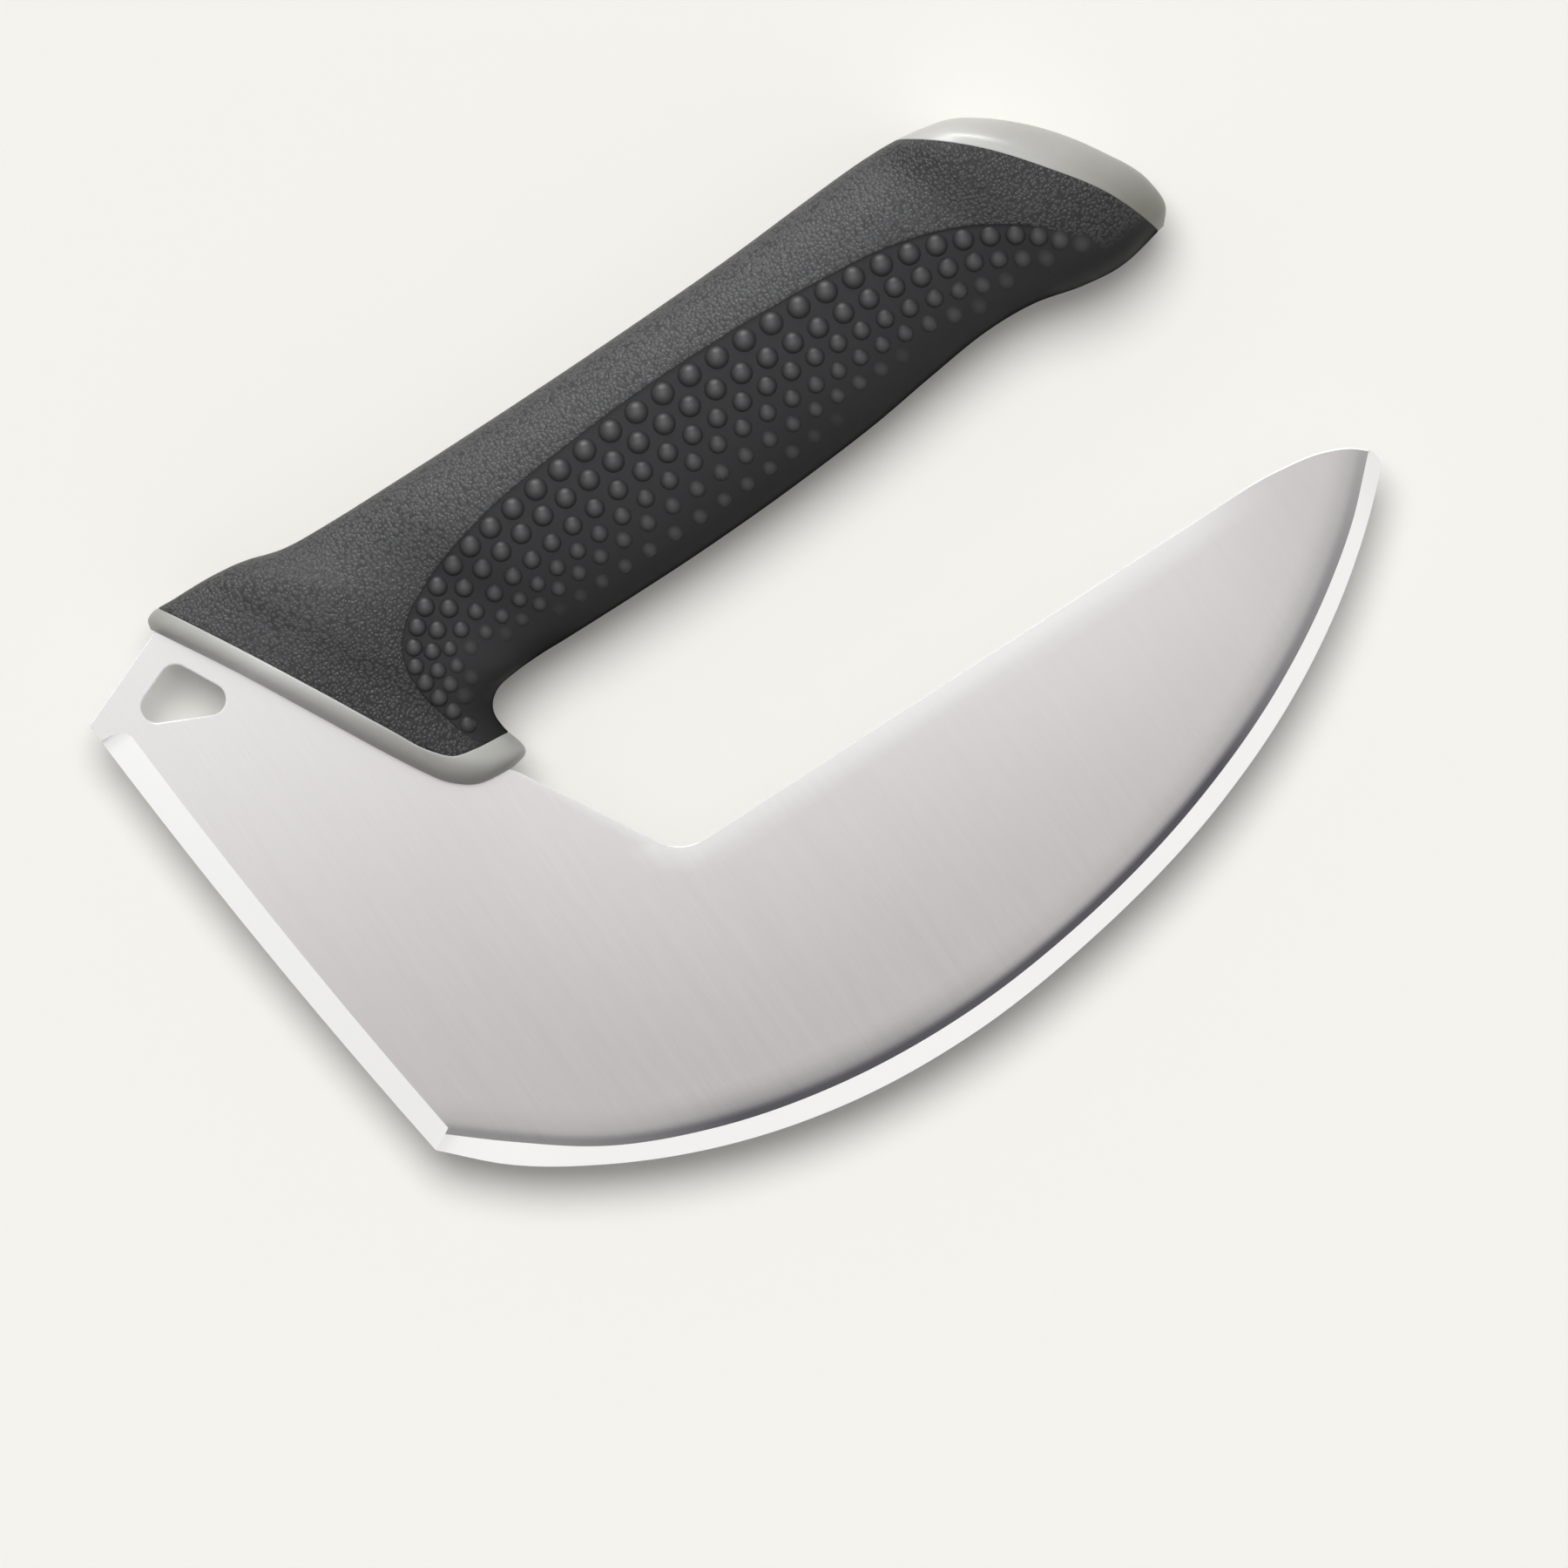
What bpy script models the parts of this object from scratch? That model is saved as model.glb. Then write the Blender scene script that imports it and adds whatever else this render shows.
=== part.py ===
"""Ulu knife: a C-shaped steel blade with a moulded two-colour handle over its upper arm.

Metres, +Z up. The knife lies flat. X runs along the handle towards its butt, Y from the rocker
edge towards the handle's spine, and Z across the blade. The shapes are drawn about the blade's
middle plane and then moved together, so that the origin lies under the middle of the knife.
"""

import math

import bmesh
import bpy
from mathutils import Matrix, Vector

# Clearance between touching pieces
FIT_GAP = 0.0003

# Blade plate
BLADE_THICKNESS = 0.0020
EDGE_THICKNESS = 0.0003
HEEL_TOP = (-0.1165, 0.0312)
FRONT_CORNER = (-0.1095, -0.0639)
FRONT_BOW = 0.0010
NOSE = (0.0935, -0.0608)
TIP_POINTS = (
    NOSE,
    (0.0939, -0.0589),
    (0.0933, -0.0572),
    (0.0911, -0.0552),
    (0.0864, -0.0528),
    (0.0790, -0.0511),
    (0.0600, -0.0499),
)
LIMB_ROOT = (-0.0448, -0.0461)
LIMB_ROOT_RADIUS = 0.0080
HEEL_SHOULDER = (-0.0955, 0.0389)

# Rocker edge from the front corner to the nose, with the width of its ground band at each point
ROCKER_POINTS = (
    (*FRONT_CORNER, 0.0030),
    (-0.1004, -0.0733, 0.0040),
    (-0.0866, -0.0829, 0.0032),
    (-0.0682, -0.0919, 0.0034),
    (-0.0457, -0.0984, 0.0037),
    (-0.0200, -0.1009, 0.0036),
    (0.0050, -0.0992, 0.0033),
    (0.0350, -0.0933, 0.0033),
    (0.0571, -0.0852, 0.0031),
    (0.0752, -0.0752, 0.0028),
    (0.0859, -0.0674, 0.0026),
    (*NOSE, 0.0028),
)

# Ground band along the front edge, and how the bands start at the heel and end at the tip
FRONT_GRIND_HEEL = 0.0048
FRONT_GRIND_CORNER = 0.0042
GRIND_START = 0.0035
GRIND_RUN_IN = 0.0028
GRIND_RUN_OUT = 0.0036

# Hanging hole, a triangle with round corners
HANGING_HOLE_CORNERS = ((-0.1050, 0.0271), (-0.0967, 0.0229), (-0.0997, 0.0290))
HANGING_HOLE_RADIUS = 0.0028

# Tang inside the handle
TANG_CENTRE_Y = 0.0150
TANG_WIDTH = 0.0160
TANG_END_X = 0.0550
TANG_ROOT_X = -0.0580
TANG_CREST_X = -0.0780
TANG_SHOULDER = (-0.0645, -0.0100)
TANG_HOLE_RADIUS = 0.0035
TANG_HOLES_X = (-0.0420, -0.0040, 0.0340)

# Handle widths across the blade, and how square its ends are
COLLAR_WIDTH = 0.0190
NECK_WIDTH = 0.0205
PALM_WIDTH = 0.0254
WAIST_WIDTH = 0.0245
BUTT_WIDTH = 0.0270
COLLAR_SQUARENESS = 2.8
PALM_SQUARENESS = 2.1
BUTT_SQUARENESS = 2.5
GRIP_WALL = 0.0030

# Handle stations from the collar's mouth to the butt: spine point, belly point, width there,
# squareness there, share of the mouth's bend and share of the butt's bend
STATIONS = (
    ((-0.0982, 0.0388), (-0.0600, -0.0170), COLLAR_WIDTH, COLLAR_SQUARENESS, 1.00, 0.00),
    ((-0.0976, 0.0404), (-0.0573, -0.0164), COLLAR_WIDTH, COLLAR_SQUARENESS, 0.93, 0.00),
    ((-0.0957, 0.0411), (-0.0566, -0.0147), COLLAR_WIDTH, COLLAR_SQUARENESS, 0.85, 0.00),
    ((-0.0920, 0.0408), (-0.0576, -0.0104), COLLAR_WIDTH, COLLAR_SQUARENESS, 0.72, 0.00),
    ((-0.0880, 0.0406), (-0.0573, -0.0067), COLLAR_WIDTH, COLLAR_SQUARENESS, 0.58, 0.00),
    ((-0.0835, 0.0402), (-0.0546, -0.0043), NECK_WIDTH, COLLAR_SQUARENESS, 0.45, 0.00),
    ((-0.0780, 0.0392), (-0.0500, -0.0037), NECK_WIDTH, COLLAR_SQUARENESS, 0.30, 0.00),
    ((-0.0710, 0.0370), (-0.0450, -0.0037), NECK_WIDTH, PALM_SQUARENESS, 0.18, 0.00),
    ((-0.0620, 0.0361), (-0.0400, -0.0040), NECK_WIDTH, PALM_SQUARENESS, 0.08, 0.00),
    ((-0.0500, 0.0355), (-0.0340, -0.0043), WAIST_WIDTH, PALM_SQUARENESS, 0.02, 0.00),
    ((-0.0350, 0.0349), (-0.0250, -0.0047), PALM_WIDTH, PALM_SQUARENESS, 0.00, 0.00),
    ((-0.0150, 0.0343), (-0.0120, -0.0051), PALM_WIDTH, PALM_SQUARENESS, 0.00, 0.00),
    ((0.0050, 0.0340), (0.0050, -0.0051), PALM_WIDTH, PALM_SQUARENESS, 0.00, 0.00),
    ((0.0220, 0.0340), (0.0240, -0.0044), PALM_WIDTH, PALM_SQUARENESS, 0.00, 0.00),
    ((0.0360, 0.0344), (0.0380, -0.0031), WAIST_WIDTH, PALM_SQUARENESS, 0.02, 0.02),
    ((0.0460, 0.0346), (0.0500, -0.0022), WAIST_WIDTH, PALM_SQUARENESS, 0.00, 0.12),
    ((0.0520, 0.0345), (0.0600, -0.0029), WAIST_WIDTH, PALM_SQUARENESS, 0.00, 0.32),
    ((0.0560, 0.0342), (0.0690, -0.0053), BUTT_WIDTH, BUTT_SQUARENESS, 0.00, 0.60),
    ((0.0600, 0.0336), (0.0770, -0.0063), BUTT_WIDTH, BUTT_SQUARENESS, 0.00, 0.85),
    ((0.0650, 0.0324), (0.0864, -0.0048), BUTT_WIDTH, BUTT_SQUARENESS, 0.00, 1.00),
)
# The mouth's edge and the butt's edge, each between its spine point and its belly point
MOUTH_POINTS = (
    (-0.0897, 0.0232),
    (-0.0829, 0.0096),
    (-0.0761, -0.0040),
    (-0.0737, -0.0085),
    (-0.0709, -0.0128),
    (-0.0671, -0.0158),
    (-0.0625, -0.0168),
)
BUTT_POINTS = (
    (0.0669, 0.0316),
    (0.0706, 0.0292),
    (0.0750, 0.0254),
    (0.0848, 0.0123),
    (0.0888, 0.0030),
    (0.0886, -0.0023),
)
# The mouth rounds over between its first stations, the butt between its last two
MOUTH_ROUND_STATIONS = 2
SPINE_IN_COLLAR = 1.0
SPINE_IN_CAP = 0.35
MOUTH_FACE_SHARE = 0.35
BUTT_FACE_SHARE = 0.15

# Where the dark grip meets the light collar and the light cap
COLLAR_LINE = (
    (-0.0997, 0.0492),
    (-0.0947, 0.0407),
    (-0.0898, 0.0317),
    (-0.0797, 0.0120),
    (-0.0741, 0.0006),
    (-0.0703, -0.0067),
    (-0.0677, -0.0095),
    (-0.0640, -0.0106),
    (-0.0580, -0.0114),
    (-0.0500, -0.0127),
)
CAP_LINE = (
    (0.0500, 0.0373),
    (0.0572, 0.0340),
    (0.0650, 0.0276),
    (0.0750, 0.0156),
    (0.0820, 0.0046),
    (0.0849, -0.0040),
    (0.0862, -0.0120),
)

# Round dots on both sides of the grip. Each row has its number of dots, their diameter and height,
# and guide points: the number of a dot along the row, and its place seen from above
DOT_ROWS = (
    (35, 0.0043, 0.00120, (
        (0, -0.0622, -0.0065),
        (2, -0.0639, 0.0001),
        (4, -0.0641, 0.0069),
        (6, -0.0599, 0.0124),
        (9, -0.0489, 0.0176),
        (13, -0.0293, 0.0204),
        (17, -0.0073, 0.0214),
        (21, 0.0152, 0.0209),
        (25, 0.0370, 0.0188),
        (28, 0.0520, 0.0150),
        (31, 0.0641, 0.0084),
        (34, 0.0728, 0.0005),
    )),
    (31, 0.0041, 0.00115, (
        (0, -0.0600, -0.0023),
        (2, -0.0613, 0.0041),
        (3, -0.0602, 0.0074),
        (5, -0.0535, 0.0119),
        (8, -0.0405, 0.0148),
        (12, -0.0208, 0.0163),
        (16, 0.0009, 0.0168),
        (20, 0.0219, 0.0155),
        (24, 0.0419, 0.0132),
        (27, 0.0557, 0.0087),
        (30, 0.0662, 0.0020),
    )),
    (28, 0.0038, 0.00105, (
        (0, -0.0572, -0.0003),
        (1, -0.0581, 0.0029),
        (2, -0.0574, 0.0060),
        (3, -0.0539, 0.0076),
        (6, -0.0414, 0.0099),
        (10, -0.0228, 0.0116),
        (14, -0.0016, 0.0123),
        (18, 0.0188, 0.0115),
        (22, 0.0374, 0.0095),
        (25, 0.0507, 0.0061),
        (27, 0.0584, 0.0028),
    )),
    (24, 0.0035, 0.00090, (
        (0, -0.0543, 0.0040),
        (2, -0.0468, 0.0054),
        (6, -0.0295, 0.0071),
        (10, -0.0094, 0.0080),
        (12, 0.0011, 0.0083),
        (16, 0.0210, 0.0070),
        (20, 0.0388, 0.0054),
        (23, 0.0520, 0.0020),
    )),
    (19, 0.0033, 0.00070, (
        (0, -0.0480, 0.0024),
        (1, -0.0443, 0.0029),
        (5, -0.0268, 0.0040),
        (9, -0.0063, 0.0040),
        (13, 0.0138, 0.0037),
        (18, 0.0362, 0.0024),
    )),
)
# Dots stand this far below the grip's surface, are smaller where they crowd closer than the full
# pitch, and are lower over the last few at the end of a row
DOT_SINK = 0.00035
DOT_FULL_PITCH = 0.0055
DOT_LEAST_SIZE = 0.35
DOT_LEAST_RISE = 0.30
DOT_FADE_COUNT = 3
DOT_VIEW_LEAN = 0.4
DOT_SIDES = 6

# How finely the curves are cut
OUTLINE_STEP = 0.0050
ROUND_STEPS = 6
RING_POINTS = 32
CORE_RING_POINTS = 20
STATION_STEPS = 2
END_ROUND_STEPS = 5
SAME_POINT = 0.000001

# How a place on the handle is found from its place seen from above
SEARCH_ANGLES = 12
SEARCH_ROUNDS = 12
SEARCH_STEP = 0.0001
SEARCH_STRIDE = 0.3
SEARCH_MISS = 0.0001


def along(start, end, share):
    """The point that lies a share of the way from start to end."""
    return start[0] + (end[0] - start[0]) * share, start[1] + (end[1] - start[1]) * share


def hermite(a, b, slope_a, slope_b, t):
    """One number on the cubic from a to b with the given end slopes."""
    t2 = t * t
    t3 = t2 * t
    start = (2 * t3 - 3 * t2 + 1) * a + (t3 - 2 * t2 + t) * slope_a
    end = (3 * t2 - 2 * t3) * b + (t3 - t2) * slope_b
    return start + end


def smooth_line(points, step):
    """Points about step apart on a smooth curve through the given points, ends included."""
    points = [Vector(p) for p in points]
    lengths = [(b - a).length for a, b in zip(points, points[1:])]
    pace = [(b - a) / d for a, b, d in zip(points, points[1:], lengths)]
    slopes = [pace[0]]
    for i in range(1, len(points) - 1):
        before, after = lengths[i - 1], lengths[i]
        slopes.append((pace[i - 1] * after + pace[i] * before) / (before + after))
    slopes.append(pace[-1])
    line = []
    for i, d in enumerate(lengths):
        count = max(1, round(d / step))
        for k in range(count):
            t = k / count
            a, b = points[i], points[i + 1]
            sa, sb = slopes[i] * d, slopes[i + 1] * d
            line.append(tuple(hermite(a[c], b[c], sa[c], sb[c], t) for c in range(len(a))))
    line.append(tuple(points[-1]))
    return line


def bowed_line(start, end, bow, distances):
    """Points at the given distances from start along a shallow arc to end, bowed to its right."""
    chord = Vector(end) - Vector(start)
    right = Vector((chord.y, -chord.x)).normalized()
    line = []
    for distance in distances:
        share = distance / chord.length
        line.append(tuple(Vector(start) + chord * share + right * 4 * bow * share * (1 - share)))
    return line


def fillet(before, corner, after, radius):
    """Points on the arc that rounds a corner between two straight stretches."""
    corner = Vector(corner)
    back = (Vector(before) - corner).normalized()
    on = (Vector(after) - corner).normalized()
    half = back.angle(on) / 2
    centre = corner + (back + on).normalized() * (radius / math.sin(half))
    first = corner + back * (radius / math.tan(half)) - centre
    last = corner + on * (radius / math.tan(half)) - centre
    turn = first.angle_signed(last)
    points = []
    for k in range(ROUND_STEPS + 1):
        spoke = first.copy()
        spoke.rotate(Matrix.Rotation(-turn * k / ROUND_STEPS, 2))
        points.append(tuple(centre + spoke))
    return points


def circle(centre, radius, count):
    """Points round a circle, anticlockwise."""
    turns = [math.tau * k / count for k in range(count)]
    return [(centre[0] + radius * math.cos(a), centre[1] + radius * math.sin(a)) for a in turns]


def rounded_hull(corners, radius):
    """A triangle or other convex shape with round corners, its corners given anticlockwise."""
    points = []
    for before, here, after in zip(corners[-1:] + corners[:-1], corners, corners[1:] + corners[:1]):
        start = math.atan2(before[0] - here[0], here[1] - before[1])
        turn_in = Vector((here[0] - before[0], here[1] - before[1]))
        turn_out = Vector((after[0] - here[0], after[1] - here[1]))
        turn = -turn_in.angle_signed(turn_out)
        for k in range(ROUND_STEPS + 1):
            a = start + turn * k / ROUND_STEPS
            points.append((here[0] + radius * math.cos(a), here[1] + radius * math.sin(a)))
    return points


def inward(a, b):
    """The unit normal to the left of the way from a to b."""
    way = (Vector(b) - Vector(a)).normalized()
    return Vector((-way.y, way.x))


def inset(outline, widths):
    """An anticlockwise outline moved inwards, each point by its own width square to the outline."""
    count = len(outline)
    moved = []
    for i, here in enumerate(outline):
        n1 = inward(outline[i - 1], here)
        n2 = inward(here, outline[(i + 1) % count])
        middle = (n1 + n2).normalized()
        reach = widths[i] / middle.dot(n1)
        moved.append((here[0] + middle.x * reach, here[1] + middle.y * reach))
    return moved


def front_edge():
    """The front edge from the heel to the corner, each point with its band's width and how far the
    grind has come down to its full depth there."""
    length = (Vector(FRONT_CORNER) - Vector(HEEL_TOP)).length
    full = GRIND_START + GRIND_RUN_IN
    turns = [math.pi / 2 * k / ROUND_STEPS for k in range(ROUND_STEPS + 1)]
    count = max(2, round((length - full) / (2 * OUTLINE_STEP)))
    distances = [0.0]
    distances += [full - GRIND_RUN_IN * math.cos(a) for a in turns]
    distances += [full + (length - full) * k / count for k in range(1, count)]
    shares = [0.0]
    shares += [math.sin(a) for a in turns]
    shares += [1.0] * (count - 1)
    narrowing = FRONT_GRIND_CORNER - FRONT_GRIND_HEEL
    widths = [FRONT_GRIND_HEEL + narrowing * d / length for d in distances]
    return bowed_line(HEEL_TOP, FRONT_CORNER, FRONT_BOW, distances), widths, shares


def rocker_edge():
    """The rocker edge and the nose it ends in, each point with its band's width and depth share."""
    rocker = smooth_line(ROCKER_POINTS, OUTLINE_STEP)
    nose = smooth_line(TIP_POINTS[:3], OUTLINE_STEP / 4)[1:]
    line = [point[:2] for point in rocker] + nose
    widths = [point[2] for point in rocker] + [ROCKER_POINTS[-1][2]] * len(nose)
    shares = [0.0]
    rest = 0.0
    for a, b in zip(line[::-1], line[-2::-1]):
        rest += (Vector(b) - Vector(a)).length
        shares.append(min(1.0, rest / GRIND_RUN_OUT))
    return line, widths, shares[::-1]


def tang_line():
    """The tang from the limb's root round its end and back to the heel's shoulder."""
    half = TANG_WIDTH / 2
    end_centre = (TANG_END_X - half, TANG_CENTRE_Y)
    line = [TANG_SHOULDER, (TANG_ROOT_X, TANG_CENTRE_Y - half)]
    for k in range(2 * ROUND_STEPS + 1):
        a = math.pi * (k / (2 * ROUND_STEPS) - 0.5)
        line.append((end_centre[0] + half * math.cos(a), end_centre[1] + half * math.sin(a)))
    line += [(TANG_CREST_X, TANG_CENTRE_Y + half), HEEL_SHOULDER]
    return line


def blade_outline():
    """The blade with its tang, anticlockwise, with each point's ground band and depth share, and
    the numbers of the points between which the band runs out at the nose."""
    front, front_widths, front_shares = front_edge()
    rocker, rocker_widths, rocker_shares = rocker_edge()
    back = smooth_line(TIP_POINTS[2:], OUTLINE_STEP / 2)[1:]
    root = fillet(TIP_POINTS[-1], LIMB_ROOT, TANG_SHOULDER, LIMB_ROOT_RADIUS)
    plain = back + root + tang_line()
    outline = front + rocker + plain
    widths = front_widths + rocker_widths + [0.0] * len(plain)
    shares = front_shares + rocker_shares + [0.0] * len(plain)
    nose_end = len(front) + len(rocker) - 1
    nose_start = max(i for i in range(nose_end) if shares[i] == 1.0)
    return outline, widths, shares, (nose_start, nose_end)


def new_object(name, mesh, group, material=None):
    """An object for a mesh, in one of the two collections."""
    thing = bpy.data.objects.new(name, mesh)
    group.objects.link(thing)
    if material:
        mesh.materials.append(material)
    return thing


def mesh_from(name, vertices, faces):
    """A closed mesh with its faces turned outwards."""
    bm = bmesh.new()
    made = [bm.verts.new(v) for v in vertices]
    for face in faces:
        bm.faces.new([made[i] for i in face])
    bmesh.ops.remove_doubles(bm, verts=bm.verts, dist=SAME_POINT)
    bmesh.ops.recalc_face_normals(bm, faces=bm.faces)
    mesh = bpy.data.meshes.new(name)
    bm.to_mesh(mesh)
    bm.free()
    return mesh


def ground_plate(name, outline, widths, shares, nose):
    """The plate, lofted from its full-thickness line out to its thin edge on both sides. That line
    runs out straight at the nose."""
    inner = inset(outline, [w * share for w, share in zip(widths, shares)])
    start, end = nose
    for i in range(start + 1, end):
        inner[i] = along(inner[start], inner[end], (i - start) / (end - start))
    count = len(outline)
    half = BLADE_THICKNESS / 2
    rim = [half - (half - EDGE_THICKNESS / 2) * share for share in shares]
    vertices = [(x, y, half) for x, y in inner]
    vertices += [(x, y, z) for (x, y), z in zip(outline, rim)]
    vertices += [(x, y, -z) for (x, y), z in zip(outline, rim)]
    vertices += [(x, y, -half) for x, y in inner]
    faces = [tuple(range(count)), tuple(range(3 * count, 4 * count))]
    for level in range(3):
        for i in range(count):
            j = (i + 1) % count
            a = level * count
            faces.append((a + i, a + j, a + count + j, a + count + i))
    return mesh_from(name, vertices, faces)


def prism(name, outlines, thickness, group):
    """A flat plate from filled outlines, one inside another for a hole, centred on the blade."""
    curve = bpy.data.curves.new(name, "CURVE")
    curve.dimensions = "2D"
    curve.fill_mode = "BOTH"
    curve.extrude = thickness / 2
    for outline in outlines:
        spline = curve.splines.new("POLY")
        spline.points.add(len(outline) - 1)
        for point, (x, y) in zip(spline.points, outline):
            point.co = (x, y, 0, 1)
        spline.use_cyclic_u = True
    drawn = bpy.data.objects.new(name, curve)
    group.objects.link(drawn)
    seen = drawn.evaluated_get(bpy.context.evaluated_depsgraph_get())
    mesh = bpy.data.meshes.new_from_object(seen)
    bpy.data.objects.remove(drawn)
    bm = bmesh.new()
    bm.from_mesh(mesh)
    bmesh.ops.remove_doubles(bm, verts=bm.verts, dist=SAME_POINT)
    bmesh.ops.recalc_face_normals(bm, faces=bm.faces)
    bm.to_mesh(mesh)
    bm.free()
    mesh.name = name
    return new_object(name, mesh, group)


def path_point(line, share):
    """The point at a share of the length of a line of points."""
    lengths = [(Vector(b) - Vector(a)).length for a, b in zip(line, line[1:])]
    rest = share * sum(lengths)
    for a, b, d in zip(line, line[1:], lengths):
        if rest <= d:
            return along(a, b, rest / d)
        rest -= d
    return line[-1]


def bend(line, share):
    """How far a line strays from its chord at a share of its length."""
    on_line = path_point(line, share)
    on_chord = along(line[0], line[-1], share)
    return on_line[0] - on_chord[0], on_line[1] - on_chord[1]


def station_row(place):
    """The numbers of a station, eased smoothly between the stations written above."""
    rows = [(*spine, *belly, *rest) for spine, belly, *rest in STATIONS]
    i = min(int(place), len(rows) - 2)
    t = place - i
    a, b = rows[i], rows[i + 1]
    before = rows[i - 1] if i > 0 else a
    after = rows[i + 2] if i + 2 < len(rows) else b
    row = []
    for c in range(len(a)):
        slope_a = (b[c] - before[c]) / (2 if i > 0 else 1)
        slope_b = (after[c] - a[c]) / (2 if i + 2 < len(rows) else 1)
        row.append(hermite(a[c], b[c], slope_a, slope_b, t))
    return row


def section_point(row, rise, wall, angle, mouth_line, butt_line):
    """The point at an angle round one section of the handle, a wall inside its surface."""
    spine_x, spine_y, belly_x, belly_y, width, squareness, mouth, butt = row
    spine = Vector((spine_x, spine_y))
    belly = Vector((belly_x, belly_y))
    way = (belly - spine).normalized()
    spine += way * wall
    belly -= way * wall
    half = width / 2 * rise - wall
    across = math.copysign(abs(math.cos(angle)) ** (2 / squareness), math.cos(angle))
    up = math.copysign(abs(math.sin(angle)) ** (2 / squareness), math.sin(angle))
    share = (1 - across) / 2
    x, y = along(spine, belly, share)
    mouth_x, mouth_y = bend(mouth_line, share)
    butt_x, butt_y = bend(butt_line, share)
    x += mouth * mouth_x + butt * butt_x
    y += mouth * mouth_y + butt * butt_y
    return x, y, half * up


def ring(place, rise, wall, count, mouth_line, butt_line):
    """One closed ring of points round the handle at a station, a wall inside its surface."""
    row = station_row(place)
    angles = [math.tau * k / count for k in range(count)]
    return [section_point(row, rise, wall, angle, mouth_line, butt_line) for angle in angles]


def loft(name, rings):
    """A closed body through rings of points, its two ends closed straight across the blade."""
    count = len(rings[0])
    vertices = [point for points in rings for point in points]
    faces = []
    for r in range(len(rings) - 1):
        for k in range(count):
            a = r * count + k
            b = r * count + (k + 1) % count
            faces.append((a, b, b + count, a + count))
    for start in (0, (len(rings) - 1) * count):
        for k in range(count // 2):
            there = start + (count - k - 1) % count
            back = start + (count - k) % count
            faces.append(tuple(dict.fromkeys((start + k, start + k + 1, there, back))))
    return mesh_from(name, vertices, faces)


def handle_lines():
    """The edges of the collar's mouth and of the butt, both from spine to belly."""
    lines = []
    for station, points in ((STATIONS[0], MOUTH_POINTS), (STATIONS[-1], BUTT_POINTS)):
        lines.append(smooth_line((station[0], *points, station[1]), OUTLINE_STEP / 2))
    return lines


def handle_form(name):
    """The whole handle's outer shape: rounded mouth, lofted grip and rounded butt."""
    lines = handle_lines()
    last = len(STATIONS) - 1
    rings = []
    start = math.asin(MOUTH_FACE_SHARE)
    for k in range(END_ROUND_STEPS):
        angle = start + (math.pi / 2 - start) * k / END_ROUND_STEPS
        rings.append((MOUTH_ROUND_STATIONS * (1 - math.cos(angle) / math.cos(start)), math.sin(angle)))
    straight = last - 1 - MOUTH_ROUND_STATIONS
    rings += [(MOUTH_ROUND_STATIONS + k / STATION_STEPS, 1.0) for k in range(straight * STATION_STEPS)]
    end = math.asin(BUTT_FACE_SHARE)
    for k in range(END_ROUND_STEPS + 1):
        angle = math.pi / 2 - (math.pi / 2 - end) * k / END_ROUND_STEPS
        rings.append((last - 1 + math.cos(angle) / math.cos(end), math.sin(angle)))
    return loft(name, [ring(place, rise, 0, RING_POINTS, *lines) for place, rise in rings])


def spine_form(name, wall):
    """The handle's shape a wall further in, from inside the collar to inside the cap."""
    lines = handle_lines()
    first = MOUTH_ROUND_STATIONS - SPINE_IN_COLLAR
    last = len(STATIONS) - 2 + SPINE_IN_CAP
    count = round((last - first) * STATION_STEPS)
    places = [first + (last - first) * k / count for k in range(count + 1)]
    return loft(name, [ring(place, 1.0, wall, CORE_RING_POINTS, *lines) for place in places])


def surface_point(place, angle, lines):
    """The point of the handle's surface at a station, at an angle round it."""
    return Vector(section_point(station_row(place), 1.0, 0.0, angle, *lines))


def surface_slopes(place, angle, lines):
    """A point of the surface, and how it moves with its place and with its angle."""
    here = surface_point(place, angle, lines)
    by_place = (surface_point(place + SEARCH_STEP, angle, lines) - here) / SEARCH_STEP
    by_angle = (surface_point(place, angle + SEARCH_STEP, lines) - here) / SEARCH_STEP
    return here, by_place, by_angle


def search_grid(lines):
    """Places spread over the upper side, from which a search can start."""
    starts = []
    for i in range(STATION_STEPS * (len(STATIONS) - 1)):
        for k in range(1, SEARCH_ANGLES):
            place, angle = i / STATION_STEPS, math.pi * k / SEARCH_ANGLES
            starts.append((surface_point(place, angle, lines).xy, place, angle))
    return starts


def find_on_surface(spot, starts, lines):
    """The upper side's point above a spot seen from above and its outward normal, or None where
    the handle doesn't reach the spot."""
    near, place, angle = min(starts, key=lambda start: (start[0] - spot).length)
    last = len(STATIONS) - 1 - SEARCH_STEP
    for _ in range(SEARCH_ROUNDS):
        here, by_place, by_angle = surface_slopes(place, angle, lines)
        gap = spot - here.xy
        area = by_place.xy.cross(by_angle.xy)
        place_step = gap.cross(by_angle.xy) / area
        angle_step = by_place.xy.cross(gap) / area
        place += max(-SEARCH_STRIDE, min(SEARCH_STRIDE, place_step))
        angle += max(-SEARCH_STRIDE, min(SEARCH_STRIDE, angle_step))
        place = max(SEARCH_STEP, min(last, place))
        angle = max(SEARCH_STRIDE, min(math.pi - SEARCH_STRIDE, angle))
    here, by_place, by_angle = surface_slopes(place, angle, lines)
    if (spot - here.xy).length > SEARCH_MISS:
        return None
    normal = by_place.cross(by_angle).normalized()
    return here, normal * math.copysign(1, normal.z)


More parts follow.
